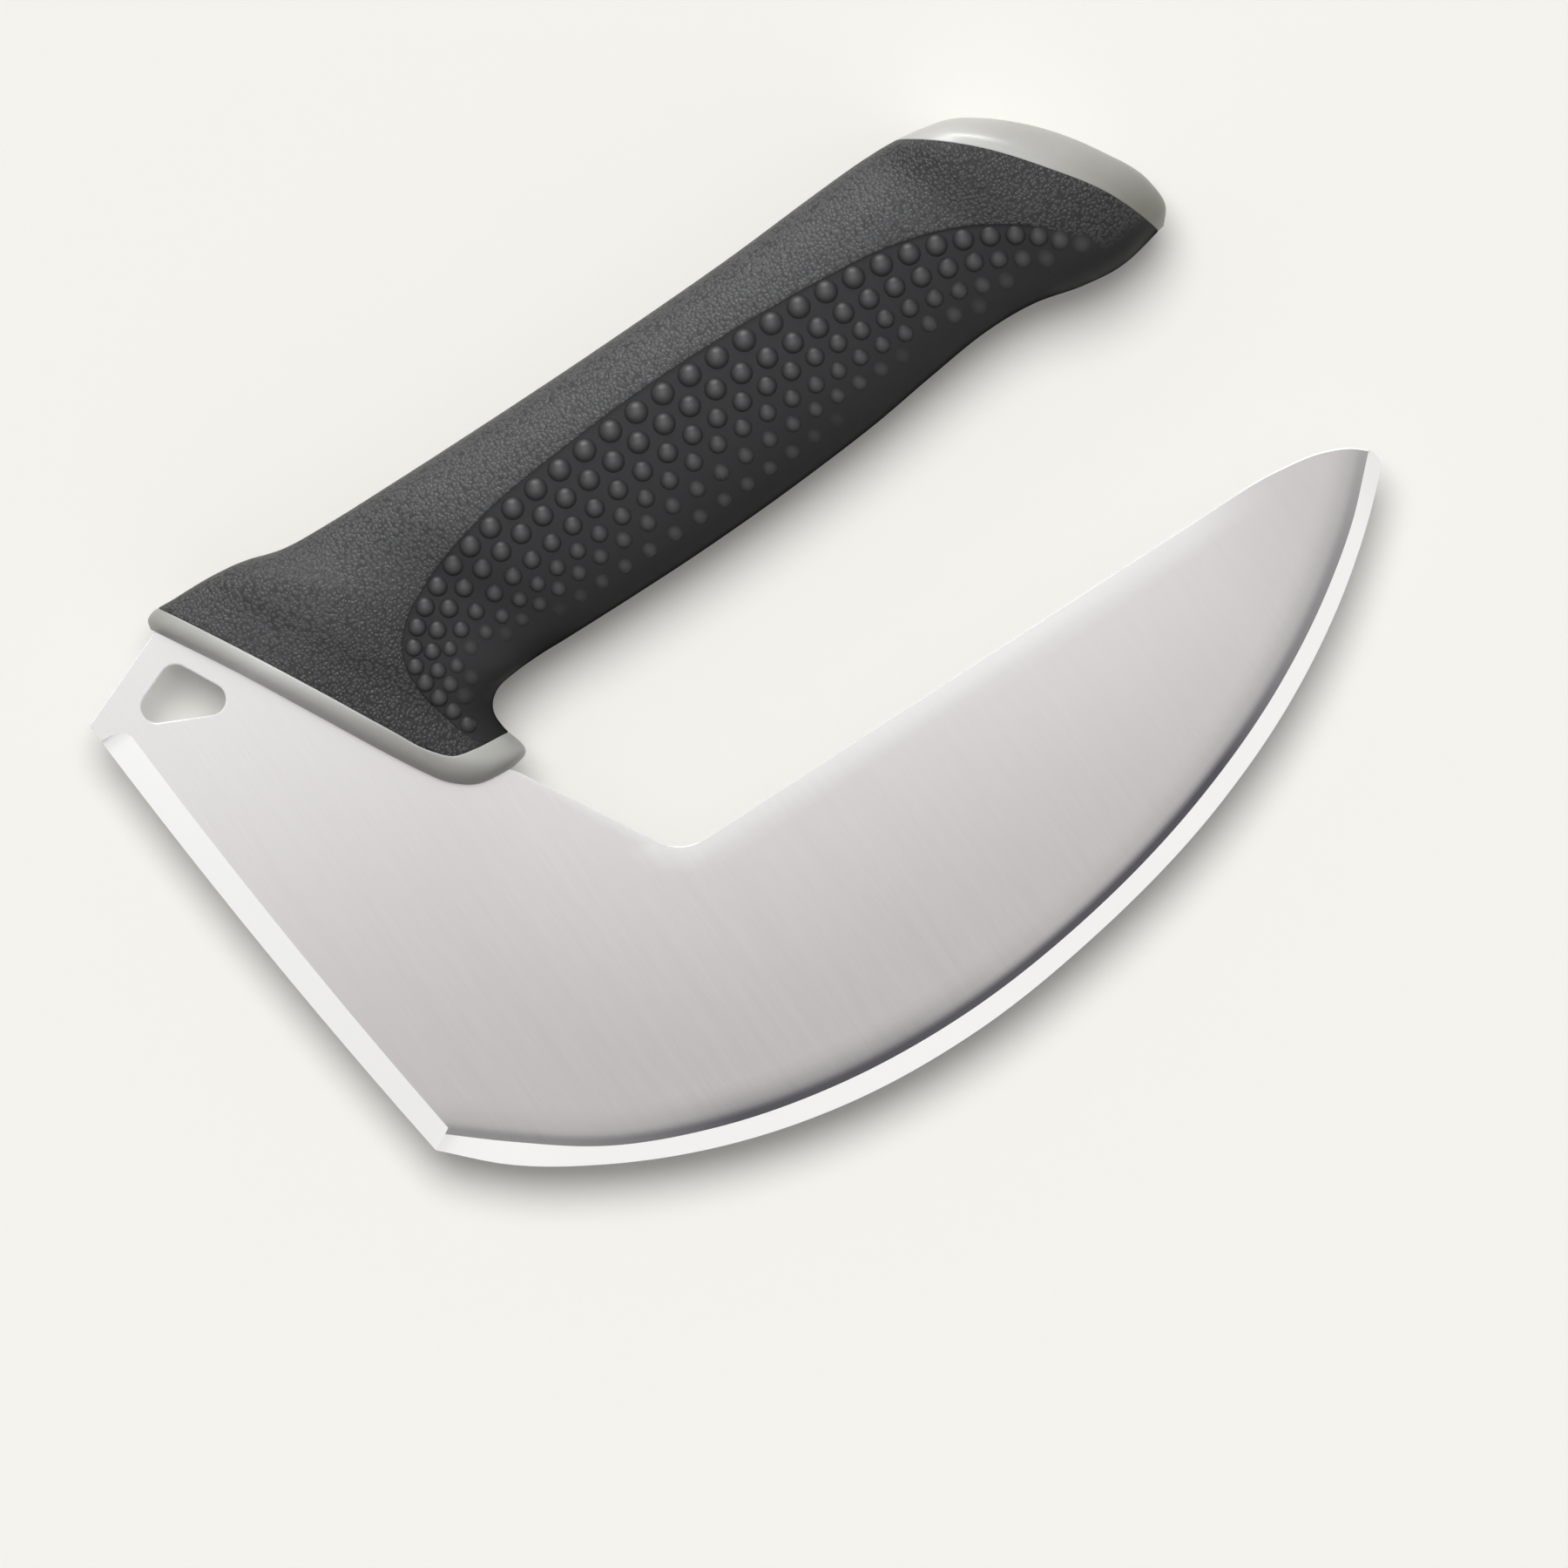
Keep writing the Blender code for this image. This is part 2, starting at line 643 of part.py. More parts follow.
def dot_row(count, guide):
    """The middles of a row's dots, on a smooth curve through its guide points."""
    spans = [after[0] - before[0] for before, after in zip(guide, guide[1:])]
    spots = [Vector(point[1:]) for point in guide]
    pace = [(b - a) / span for a, b, span in zip(spots, spots[1:], spans)]
    slopes = [pace[0]]
    for i in range(1, len(spots) - 1):
        before, after = spans[i - 1], spans[i]
        slopes.append((pace[i - 1] * after + pace[i] * before) / (before + after))
    slopes.append(pace[-1])
    row = []
    for number in range(count):
        i = max(k for k in range(len(spans)) if guide[k][0] <= number)
        t = (number - guide[i][0]) / spans[i]
        slope_a, slope_b = slopes[i] * spans[i], slopes[i + 1] * spans[i]
        row.append(hermite(spots[i], spots[i + 1], slope_a, slope_b, t))
    return row


def grip_dots():
    """Every dot's middle seen from above, its radius and its height."""
    dots = []
    for count, diameter, height, guide in DOT_ROWS:
        row = dot_row(count, guide)
        for k, here in enumerate(row):
            before, after = row[max(0, k - 1)], row[min(count - 1, k + 1)]
            pitch = (after - before).length / (2 if 0 < k < count - 1 else 1)
            size = DOT_LEAST_SIZE + (1 - DOT_LEAST_SIZE) * min(1.0, pitch / DOT_FULL_PITCH)
            from_end = count - 1 - k
            if guide != DOT_ROWS[0][-1]:
                from_end = min(k, from_end)
            rise = min(1.0, (from_end + 0.5) / DOT_FADE_COUNT)
            rise = DOT_LEAST_RISE + (1 - DOT_LEAST_RISE) * rise
            dots.append((here, diameter / 2 * size, height * size * rise))
    return dots


def dome(centre, normal, radius, height):
    """A dot's points and faces: its top, a ring half way down and a ring at its foot."""
    ball = (radius * radius + height * height) / (2 * height)
    foot = math.asin(radius / ball)
    side = normal.orthogonal().normalized()
    other = normal.cross(side)
    points = [centre + normal * height]
    for tilt in (foot / 2, foot):
        level = centre + normal * (height - ball * (1 - math.cos(tilt)))
        for x, y in circle((0, 0), ball * math.sin(tilt), DOT_SIDES):
            points.append(level + side * x + other * y)
    faces = [tuple(range(1 + DOT_SIDES, 1 + 2 * DOT_SIDES))]
    for k in range(DOT_SIDES):
        a, b = 1 + k, 1 + (k + 1) % DOT_SIDES
        faces += [(0, a, b), (a, b, b + DOT_SIDES, a + DOT_SIDES)]
    return points, faces


def dots_form(name):
    """All dots of both sides as one guide, each a closed dome that reaches under the surface."""
    lines = handle_lines()
    starts = search_grid(lines)
    vertices, faces = [], []
    for spot, radius, height in grip_dots():
        found = find_on_surface(spot, starts, lines)
        if found:
            lean = found[1].xy * height * DOT_VIEW_LEAN
            found = find_on_surface(spot - lean, starts, lines)
        if not found:
            continue
        centre, normal = found
        points, dome_faces = dome(centre - normal * DOT_SINK, normal, radius, height)
        for side in (1, -1):
            first = len(vertices)
            vertices += [(x, y, z * side) for x, y, z in points]
            faces += [tuple(first + i for i in face) for face in dome_faces]
    return mesh_from(name, vertices, faces)


def shifted(line, gap):
    """A line moved to its left by a gap."""
    moved = []
    for i, here in enumerate(line):
        before = line[max(0, i - 1)]
        after = line[min(len(line) - 1, i + 1)]
        normal = inward(before, after)
        moved.append((here[0] + normal.x * gap, here[1] + normal.y * gap))
    return moved


def collar_block(name, gap, group):
    """A block on the blade's side of the collar line, moved on into the grip by a gap."""
    line = shifted(smooth_line(COLLAR_LINE, OUTLINE_STEP / 2), gap)
    reach = 2 * BUTT_WIDTH
    corner_x = HEEL_TOP[0] - reach
    corner_y = STATIONS[0][1][1] - reach
    outline = line + [(line[-1][0], corner_y), (corner_x, corner_y), (corner_x, line[0][1])]
    return prism(name, [outline], 2 * reach, group)


def cap_block(name, gap, group):
    """A block on the butt's side of the cap line, moved on into the grip by a gap."""
    line = shifted(smooth_line(CAP_LINE, OUTLINE_STEP), -gap)
    reach = 2 * BUTT_WIDTH
    corner_x = STATIONS[-1][1][0] + reach
    outline = line + [(corner_x, line[-1][1]), (corner_x, line[0][1])]
    return prism(name, [outline], 2 * reach, group)


def boolean(target, cutter, operation):
    """A boolean on the target that keeps its cutter as a separate guide."""
    modifier = target.modifiers.new(cutter.name, "BOOLEAN")
    modifier.operation = operation
    modifier.solver = "EXACT"
    modifier.object = cutter


def plain_material(name, colour, roughness, metallic):
    """A plain shader in the piece's own colour."""
    material = bpy.data.materials.new(name)
    material.use_nodes = True
    shader = material.node_tree.nodes["Principled BSDF"]
    shader.inputs["Base Color"].default_value = (*colour, 1)
    shader.inputs["Roughness"].default_value = roughness
    shader.inputs["Metallic"].default_value = metallic
    return material


def make_blade(parts, guides):
    """The steel plate with its hanging hole and the tang's holes."""
    steel = plain_material("brushed_steel", (0.68, 0.66, 0.65), 0.32, 1.0)
    blade = new_object("blade", ground_plate("blade", *blade_outline()), parts, steel)
    deep = 4 * BLADE_THICKNESS
    triangle = rounded_hull(HANGING_HOLE_CORNERS, HANGING_HOLE_RADIUS)
    boolean(blade, prism("hanging_hole", [triangle], deep, guides), "DIFFERENCE")
    for i, x in enumerate(TANG_HOLES_X):
        round_hole = circle((x, TANG_CENTRE_Y), TANG_HOLE_RADIUS, 4 * ROUND_STEPS)
        boolean(blade, prism(f"tang_hole_{i + 1}", [round_hole], deep, guides), "DIFFERENCE")
    return blade


def make_core(parts, guides):
    """The light plastic: collar, spine and cap in one, slotted for the tang and plugged through it."""
    light = plain_material("light_grey_plastic", (0.42, 0.42, 0.40), 0.35, 0.0)
    collar = new_object("collar_form", handle_form("collar_form"), guides)
    boolean(collar, collar_block("collar_side", 0, guides), "INTERSECT")
    cap = new_object("cap_form", handle_form("cap_form"), guides)
    boolean(cap, cap_block("cap_side", 0, guides), "INTERSECT")

    outline = blade_outline()[0]
    slot_line = inset(outline, [-FIT_GAP] * len(outline))
    plug_radius = TANG_HOLE_RADIUS - FIT_GAP
    plugs = [circle((x, TANG_CENTRE_Y), plug_radius, 4 * ROUND_STEPS) for x in TANG_HOLES_X]
    slot = prism("tang_slot", [slot_line, *plugs], BLADE_THICKNESS + 2 * FIT_GAP, guides)

    core = new_object("handle_core", spine_form("handle_core", GRIP_WALL), parts, light)
    boolean(core, collar, "UNION")
    boolean(core, cap, "UNION")
    boolean(core, slot, "DIFFERENCE")
    return core


def make_grip(parts, guides):
    """The dark sleeve between collar and cap, dotted on both sides and hollow for the spine."""
    dark = plain_material("dark_soft_plastic", (0.045, 0.045, 0.048), 0.55, 0.0)
    grip = new_object("grip", handle_form("grip"), parts, dark)
    hollow = new_object("grip_hollow", spine_form("grip_hollow", GRIP_WALL - FIT_GAP), guides)
    boolean(grip, new_object("grip_dots", dots_form("grip_dots"), guides), "UNION")
    boolean(grip, collar_block("collar_side_gap", FIT_GAP, guides), "DIFFERENCE")
    boolean(grip, cap_block("cap_side_gap", FIT_GAP, guides), "DIFFERENCE")
    boolean(grip, hollow, "DIFFERENCE")
    return grip


def stand_on_origin(pieces, guides):
    """Move the knife as one, so that the origin lies under the middle of its box."""
    frame = bpy.data.objects.new("knife_frame", None)
    bpy.context.scene.collection.objects.link(frame)
    for thing in [*pieces, *guides.objects]:
        thing.parent = frame
    seen = [piece.evaluated_get(bpy.context.evaluated_depsgraph_get()) for piece in pieces]
    corners = [Vector(corner) for piece in seen for corner in piece.bound_box]
    low = [min(c[axis] for c in corners) for axis in range(3)]
    high = [max(c[axis] for c in corners) for axis in range(3)]
    frame.location = (-(low[0] + high[0]) / 2, -(low[1] + high[1]) / 2, -low[2])


def main():
    for thing in list(bpy.data.objects):
        bpy.data.objects.remove(thing)
    parts = bpy.data.collections.new("ulu_knife")
    guides = bpy.data.collections.new("cutters")
    bpy.context.scene.collection.children.link(parts)
    bpy.context.scene.collection.children.link(guides)

    pieces = [make_blade(parts, guides), make_core(parts, guides), make_grip(parts, guides)]
    for guide in guides.objects:
        guide.hide_render = True
        guide.display_type = "WIRE"
    for piece in pieces:
        piece.data.shade_smooth()
        piece.data.set_sharp_from_angle(angle=math.radians(30))
    stand_on_origin(pieces, guides)


main()
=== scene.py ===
"""Looks of the ulu knife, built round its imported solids.

The numbers are metres in the drawing's own frame, the one the solids were drawn in: X along the
handle, Y from the rocker edge to the spine, and Z across the blade from its middle plane. Tables
and ranges that are in millimetres say so.
"""

import math

import bmesh
import bpy
import numpy as np
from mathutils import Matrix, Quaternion, Vector
from mathutils.geometry import delaunay_2d_cdt


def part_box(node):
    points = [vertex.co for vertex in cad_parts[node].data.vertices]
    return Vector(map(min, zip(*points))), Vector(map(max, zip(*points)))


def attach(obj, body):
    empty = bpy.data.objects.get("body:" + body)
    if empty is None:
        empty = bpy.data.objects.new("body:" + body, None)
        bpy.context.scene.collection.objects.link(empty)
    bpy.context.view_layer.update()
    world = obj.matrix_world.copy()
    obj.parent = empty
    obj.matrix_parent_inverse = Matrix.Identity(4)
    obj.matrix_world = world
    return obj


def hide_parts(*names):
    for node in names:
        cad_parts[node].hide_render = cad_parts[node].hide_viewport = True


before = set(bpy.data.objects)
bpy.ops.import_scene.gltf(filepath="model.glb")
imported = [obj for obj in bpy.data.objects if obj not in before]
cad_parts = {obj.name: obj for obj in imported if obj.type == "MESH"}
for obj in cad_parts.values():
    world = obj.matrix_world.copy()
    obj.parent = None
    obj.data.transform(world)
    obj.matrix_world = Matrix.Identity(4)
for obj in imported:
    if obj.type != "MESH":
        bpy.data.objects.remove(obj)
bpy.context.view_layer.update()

MM = 0.001

# Blade, as in the solids
BLADE_HALF = 0.0010
EDGE_HALF = 0.00008
PLAIN_CHAMFER = 0.00022
HEEL_TOP = (-0.1165, 0.0312)
FRONT_CORNER = (-0.1095, -0.0639)
FRONT_BOW = 0.0010
NOSE = (0.0935, -0.0608)
TIP_POINTS = (
    NOSE, (0.0939, -0.0589), (0.0933, -0.0572), (0.0911, -0.0552), (0.0864, -0.0528),
    (0.0790, -0.0511), (0.0600, -0.0499),
)
LIMB_ROOT = (-0.0448, -0.0461)
ROOT_RADIUS = 0.0080
HEEL_SHOULDER = (-0.0955, 0.0389)
ROCKER_POINTS = (
    (*FRONT_CORNER, 0.0030), (-0.1004, -0.0733, 0.0040), (-0.0866, -0.0829, 0.0032),
    (-0.0682, -0.0919, 0.0034), (-0.0457, -0.0984, 0.0037), (-0.0200, -0.1009, 0.0036),
    (0.0050, -0.0992, 0.0033), (0.0350, -0.0933, 0.0033), (0.0571, -0.0852, 0.0031),
    (0.0752, -0.0752, 0.0028), (0.0859, -0.0674, 0.0026), (*NOSE, 0.0028),
)
GRIND_HEEL = 0.0048
GRIND_CORNER = 0.0042
GRIND_START = 0.0035
GRIND_RUN_IN = 0.0028
GRIND_RUN_OUT = 0.0036
HOLE_CORNERS = ((-0.1050, 0.0271), (-0.0967, 0.0229), (-0.0997, 0.0290))
HOLE_RADIUS = 0.0028
TANG_Y = 0.0150
TANG_WIDTH = 0.0160
TANG_END_X = 0.0550
TANG_ROOT_X = -0.0580
TANG_CREST_X = -0.0780
TANG_SHOULDER = (-0.0645, -0.0100)

# Handle, as in the solids: widths with squareness, and each station's x and y on the spine, x and y
# on the belly, width with squareness, and shares of the mouth's bend and of the butt's bend
COLLAR = (0.0190, 2.8)
SHOULDER = (0.0205, 2.8)
NECK = (0.0205, 2.1)
WAIST = (0.0245, 2.1)
PALM = (0.0254, 2.1)
BUTT = (0.0270, 2.5)
STATIONS = (
    (-0.0982, 0.0388, -0.0600, -0.0170, *COLLAR, 1.00, 0.00),
    (-0.0976, 0.0404, -0.0573, -0.0164, *COLLAR, 0.93, 0.00),
    (-0.0957, 0.0411, -0.0566, -0.0147, *COLLAR, 0.85, 0.00),
    (-0.0920, 0.0408, -0.0576, -0.0104, *COLLAR, 0.72, 0.00),
    (-0.0880, 0.0406, -0.0573, -0.0067, *COLLAR, 0.58, 0.00),
    (-0.0835, 0.0402, -0.0546, -0.0043, *SHOULDER, 0.45, 0.00),
    (-0.0780, 0.0392, -0.0500, -0.0037, *SHOULDER, 0.30, 0.00),
    (-0.0710, 0.0370, -0.0450, -0.0037, *NECK, 0.18, 0.00),
    (-0.0620, 0.0361, -0.0400, -0.0040, *NECK, 0.08, 0.00),
    (-0.0500, 0.0355, -0.0340, -0.0043, *WAIST, 0.02, 0.00),
    (-0.0350, 0.0349, -0.0250, -0.0047, *PALM, 0.00, 0.00),
    (-0.0150, 0.0343, -0.0120, -0.0051, *PALM, 0.00, 0.00),
    (0.0050, 0.0340, 0.0050, -0.0051, *PALM, 0.00, 0.00),
    (0.0220, 0.0340, 0.0240, -0.0044, *PALM, 0.00, 0.00),
    (0.0360, 0.0344, 0.0380, -0.0031, *WAIST, 0.02, 0.02),
    (0.0460, 0.0346, 0.0500, -0.0022, *WAIST, 0.00, 0.12),
    (0.0520, 0.0345, 0.0600, -0.0029, *WAIST, 0.00, 0.32),
    (0.0560, 0.0342, 0.0690, -0.0053, *BUTT, 0.00, 0.60),
    (0.0600, 0.0336, 0.0770, -0.0063, *BUTT, 0.00, 0.85),
    (0.0650, 0.0324, 0.0864, -0.0048, *BUTT, 0.00, 1.00),
)
LAST = len(STATIONS) - 1
MOUTH_POINTS = (
    (-0.0897, 0.0232), (-0.0829, 0.0096), (-0.0761, -0.0040), (-0.0737, -0.0085),
    (-0.0709, -0.0128), (-0.0671, -0.0158), (-0.0625, -0.0168),
)
BUTT_POINTS = (
    (0.0669, 0.0316), (0.0706, 0.0292), (0.0750, 0.0254), (0.0848, 0.0123), (0.0888, 0.0030),
    (0.0886, -0.0023),
)
MOUTH_ROUND = 2
MOUTH_FACE = 0.35
BUTT_FACE = 0.15
COLLAR_LINE = (
    (-0.0997, 0.0492), (-0.0947, 0.0407), (-0.0898, 0.0317), (-0.0797, 0.0120), (-0.0741, 0.0006),
    (-0.0703, -0.0067), (-0.0677, -0.0095), (-0.0640, -0.0106), (-0.0580, -0.0114),
    (-0.0500, -0.0127),
)
CAP_LINE = (
    (0.0500, 0.0373), (0.0572, 0.0340), (0.0650, 0.0276), (0.0750, 0.0156), (0.0820, 0.0046),
    (0.0849, -0.0040), (0.0862, -0.0120),
)

# Smooth zone with dots: its upper border, and each row's dot count, dot diameter, dot height and
# guide points (dot number, and x and y in millimetres)
ZONE_LINE = (
    (-0.0570, -0.0140), (-0.0631, -0.0092), (-0.0650, -0.0028), (-0.0660, 0.0030),
    (-0.0648, 0.0100), (-0.0605, 0.0148), (-0.0550, 0.0176), (-0.0400, 0.0218), (-0.0200, 0.0236),
    (-0.0050, 0.0240), (0.0100, 0.0236), (0.0300, 0.0220), (0.0450, 0.0197), (0.0550, 0.0164),
    (0.0650, 0.0104), (0.0742, 0.0011), (0.0800, -0.0070),
)
ZONE_DEPTH = 0.00035
DOT_ROWS = (
    (35, 0.0043, 0.00120, (
        (0, -62.2, -6.5), (2, -63.9, 0.1), (4, -64.1, 6.9), (6, -59.9, 12.4), (9, -48.9, 17.6),
        (13, -29.3, 20.4), (17, -7.3, 21.4), (21, 15.2, 20.9), (25, 37.0, 18.8), (28, 52.0, 15.0),
        (31, 64.1, 8.4), (34, 72.8, 0.5),
    )),
    (31, 0.0041, 0.00115, (
        (0, -60.0, -2.3), (2, -61.3, 4.1), (3, -60.2, 7.4), (5, -53.5, 11.9), (8, -40.5, 14.8),
        (12, -20.8, 16.3), (16, 0.9, 16.8), (20, 21.9, 15.5), (24, 41.9, 13.2), (27, 55.7, 8.7),
        (30, 66.2, 2.0),
    )),
    (28, 0.0038, 0.00105, (
        (0, -57.2, -0.3), (1, -58.1, 2.9), (2, -57.4, 6.0), (3, -53.9, 7.6), (6, -41.4, 9.9),
        (10, -22.8, 11.6), (14, -1.6, 12.3), (18, 18.8, 11.5), (22, 37.4, 9.5), (25, 50.7, 6.1),
        (27, 58.4, 2.8),
    )),
    (24, 0.0035, 0.00090, (
        (0, -54.3, 4.0), (2, -46.8, 5.4), (6, -29.5, 7.1), (10, -9.4, 8.0), (12, 1.1, 8.3),
        (16, 21.0, 7.0), (20, 38.8, 5.4), (23, 52.0, 2.0),
    )),
    (19, 0.0033, 0.00070, (
        (0, -48.0, 2.4), (1, -44.3, 2.9), (5, -26.8, 4.0), (9, -6.3, 4.0), (13, 13.8, 3.7),
        (18, 36.2, 2.4),
    )),
    (13, 0.0030, 0.00055, (
        (0, -38.0, 0.6), (2, -29.1, 0.4), (7, -3.6, -0.2), (12, 20.4, 0.0),
    )),
)
FULL_PITCH = 5.5
LEAST_DOT = 0.35
FADED_DOTS = 3
LEAST_RISE = 0.30

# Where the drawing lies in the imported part's frame
blade_low, blade_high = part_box("blade")
OFFSET = np.array([
    blade_low.x - HEEL_TOP[0],
    blade_low.y - min(y for _, y, _ in ROCKER_POINTS),
    (blade_low.z + blade_high.z) / 2,
])


# Lines

LINE_STEP = 0.0010
SAME_DISTANCE = 1e-12
LEAST_LENGTH = 1e-15
NEVER_ZERO = 1e-30


def smooth_line(points, step):
    """Points about step apart on a smooth curve through the given points."""
    points = np.array(points, float)
    lengths = np.linalg.norm(np.diff(points, axis=0), axis=1)[:, None]
    pace = np.diff(points, axis=0) / lengths
    inner = (pace[:-1] * lengths[1:] + pace[1:] * lengths[:-1]) / (lengths[:-1] + lengths[1:])
    slopes = np.vstack([pace[:1], inner, pace[-1:]])
    line = []
    for i, (d,) in enumerate(lengths):
        for t in np.arange(max(1, round(d / step))) / max(1, round(d / step)):
            line.append(hermite(points[i], points[i + 1], slopes[i] * d, slopes[i + 1] * d, t))
    return np.array(line + [points[-1]])


def hermite(a, b, slope_a, slope_b, t):
    """The cubic from a to b with the given end slopes."""
    start = (2 * t**3 - 3 * t**2 + 1) * a + (t**3 - 2 * t**2 + t) * slope_a
    return start + (3 * t**2 - 2 * t**3) * b + (t**3 - t**2) * slope_b


def arc(centre, first, last, radius, steps):
    """Points round a centre, from the direction of one vector to that of another."""
    turn = math.atan2(first[0] * last[1] - first[1] * last[0], float(first @ last))
    angles = math.atan2(first[1], first[0]) + turn * np.linspace(0, 1, steps + 1)
    return centre + radius * np.stack([np.cos(angles), np.sin(angles)], 1)


def fillet(before, corner, after, radius, steps):
    """Points on the arc that rounds a corner."""
    corner = np.array(corner)
    back, on = unit_rows(np.array([before, after]) - corner)
    half = math.acos(float(back @ on)) / 2
    centre = corner + (back + on) / np.linalg.norm(back + on) * radius / math.sin(half)
    reach = radius / math.tan(half)
    return arc(centre, corner + back * reach - centre, corner + on * reach - centre, radius, steps)


def rounded_hull(corners, radius, steps):
    """A convex shape with round corners, given anticlockwise."""
    corners = np.array(corners)
    right = -left_of(np.roll(corners, -1, axis=0) - corners)
    turns = zip(corners, np.roll(right, 1, axis=0), right)
    return np.vstack([arc(*turn, radius, steps) for turn in turns])


def run_along(line):
    """Each point's distance from the first one, along the line."""
    return np.concatenate([[0], np.cumsum(np.linalg.norm(np.diff(line, axis=0), axis=1))])


def offset_from(points, line):
    """Signed distance of points from a line of points, positive on its left."""
    best = np.full(len(points), np.inf)
    sign = np.ones(len(points))
    for p, q in zip(line[:-1], line[1:]):
        way = q - p
        t = np.clip(((points - p) @ way) / (way @ way), 0, 1)
        gap = points - (p + t[:, None] * way)
        d = np.linalg.norm(gap, axis=1)
        side = way[0] * (points[:, 1] - p[1]) - way[1] * (points[:, 0] - p[0])
        closer = d < best - SAME_DISTANCE
        best = np.where(closer, d, best)
        sign = np.where(closer, np.where(side >= 0, 1.0, -1.0), sign)
    return best * sign


def smoothstep(value, low, high):
    """0 below low, 1 above high and a smooth rise between."""
    t = np.clip((value - low) / (high - low), 0, 1)
    return t * t * (3 - 2 * t)


def unit_rows(vectors):
    """Vectors brought to length 1."""
    return vectors / np.linalg.norm(vectors, axis=1, keepdims=True)


def left_of(ways):
    """Level vectors turned a quarter to the left."""
    return np.stack([-ways[:, 1], ways[:, 0]], 1)


# Handle surface

BEND_STEP = 0.0005
NORMAL_STEP = 0.02

# Columns run lengthways, closer together over the dots: column numbers and shares of the way
ANGLE_SAMPLES = 2000
COLUMN_STATION = 11.0
COLUMN_MARKS = ((0, 0.0), (12, 0.20), (78, 0.95), (83, 1.0))

# Seams: places between which they lie, distances of rows close to them, and edge radius
COLLAR_PLACES = (1.2, 6.5)
CAP_PLACES = (13.0, 18.9)
SEAM_SAMPLES = 360
ROW_SAMPLES = 700
SEAM_ROWS = (0.0, 0.00006, 0.00014, 0.00025, 0.00045)
SEAM_RADIUS = 0.00022


class Handle:
    """The handle's surface by a place along the stations and an angle round it."""

    def __init__(self):
        self.rows = np.array(STATIONS)
        self.slopes = np.gradient(self.rows, axis=0)
        self.mouth, self.butt = (
            smooth_line((station[:2], *points, station[2:4]), BEND_STEP)
            for station, points in ((STATIONS[0], MOUTH_POINTS), (STATIONS[-1], BUTT_POINTS))
        )

    def bend(self, line, share):
        """How far a line strays from its chord at shares of its length."""
        run = run_along(line)
        on = np.stack([np.interp(share, run / run[-1], line[:, c]) for c in (0, 1)], -1)
        return on - (line[0] + (line[-1] - line[0]) * share[..., None])

    def at(self, place, angle):
        """Points of the surface; place and angle are arrays of one shape."""
        place = np.clip(place, 0, LAST)
        i = np.minimum(place.astype(int), LAST - 1)
        t = (place - i)[..., None]
        row = hermite(self.rows[i], self.rows[i + 1], self.slopes[i], self.slopes[i + 1], t)
        spine, belly = row[..., :2], row[..., 2:4]
        width, squareness, mouth, butt = np.moveaxis(row[..., 4:], -1, 0)
        start = math.asin(MOUTH_FACE)
        end = math.asin(BUTT_FACE)
        from_mouth = np.clip((1 - place / MOUTH_ROUND) * math.cos(start), 0, 1)
        from_butt = np.clip((place - (LAST - 1)) * math.cos(end), 0, 1)
        rise = np.sqrt(1 - from_mouth**2) * np.sqrt(1 - from_butt**2)
        waves = np.cos(angle), np.sin(angle)
        across, up = (np.sign(wave) * np.abs(wave) ** (2 / squareness) for wave in waves)
        share = (1 - across) / 2
        level = spine + (belly - spine) * share[..., None]
        level = level + mouth[..., None] * self.bend(self.mouth, share)
        level = level + butt[..., None] * self.bend(self.butt, share)
        return np.concatenate([level, (width / 2 * rise * up)[..., None]], -1)

    def normals(self, place, angle):
        """Outward normals of the surface."""
        along = self.at(place + NORMAL_STEP, angle) - self.at(place - NORMAL_STEP, angle)
        around = self.at(place, angle + NORMAL_STEP) - self.at(place, angle - NORMAL_STEP)
        normal = np.cross(around, along)
        length = np.linalg.norm(normal, axis=-1, keepdims=True)
        return normal / np.maximum(length, LEAST_LENGTH)

    def spot(self, place, angle):
        """One point of the surface and its normal."""
        one = np.array([place]), np.array([angle])
        return self.at(*one)[0], self.normals(*one)[0]


handle = Handle()


def column_angles():
    """Angles round the handle, closer together over the dots than on spine and belly."""
    fine = np.linspace(0, math.pi, ANGLE_SAMPLES)
    run = run_along(handle.at(np.full_like(fine, COLUMN_STATION), fine))
    number, share = np.array(COLUMN_MARKS).T
    half = np.interp(np.arange(number[-1] + 1), number, share * run[-1])
    angles = np.interp(half, run, fine)
    return np.concatenate([angles, 2 * math.pi - angles[-2:0:-1]])


def crossing(line, angles, low, high):
    """The place where each column crosses a line seen from above."""
    places = np.linspace(low, high, SEAM_SAMPLES)
    grid_p, grid_a = np.meshgrid(places, angles, indexing="ij")
    points = handle.at(grid_p, grid_a)[..., :2].reshape(-1, 2)
    side = offset_from(points, smooth_line(line, LINE_STEP)).reshape(grid_p.shape)
    after = np.argmax((side[:-1] <= 0) & (side[1:] > 0), axis=0)
    here, there = (np.take_along_axis(side, row[None], 0)[0] for row in (after, after + 1))
    return places[after] + here / (here - there) * (places[after + 1] - places[after])


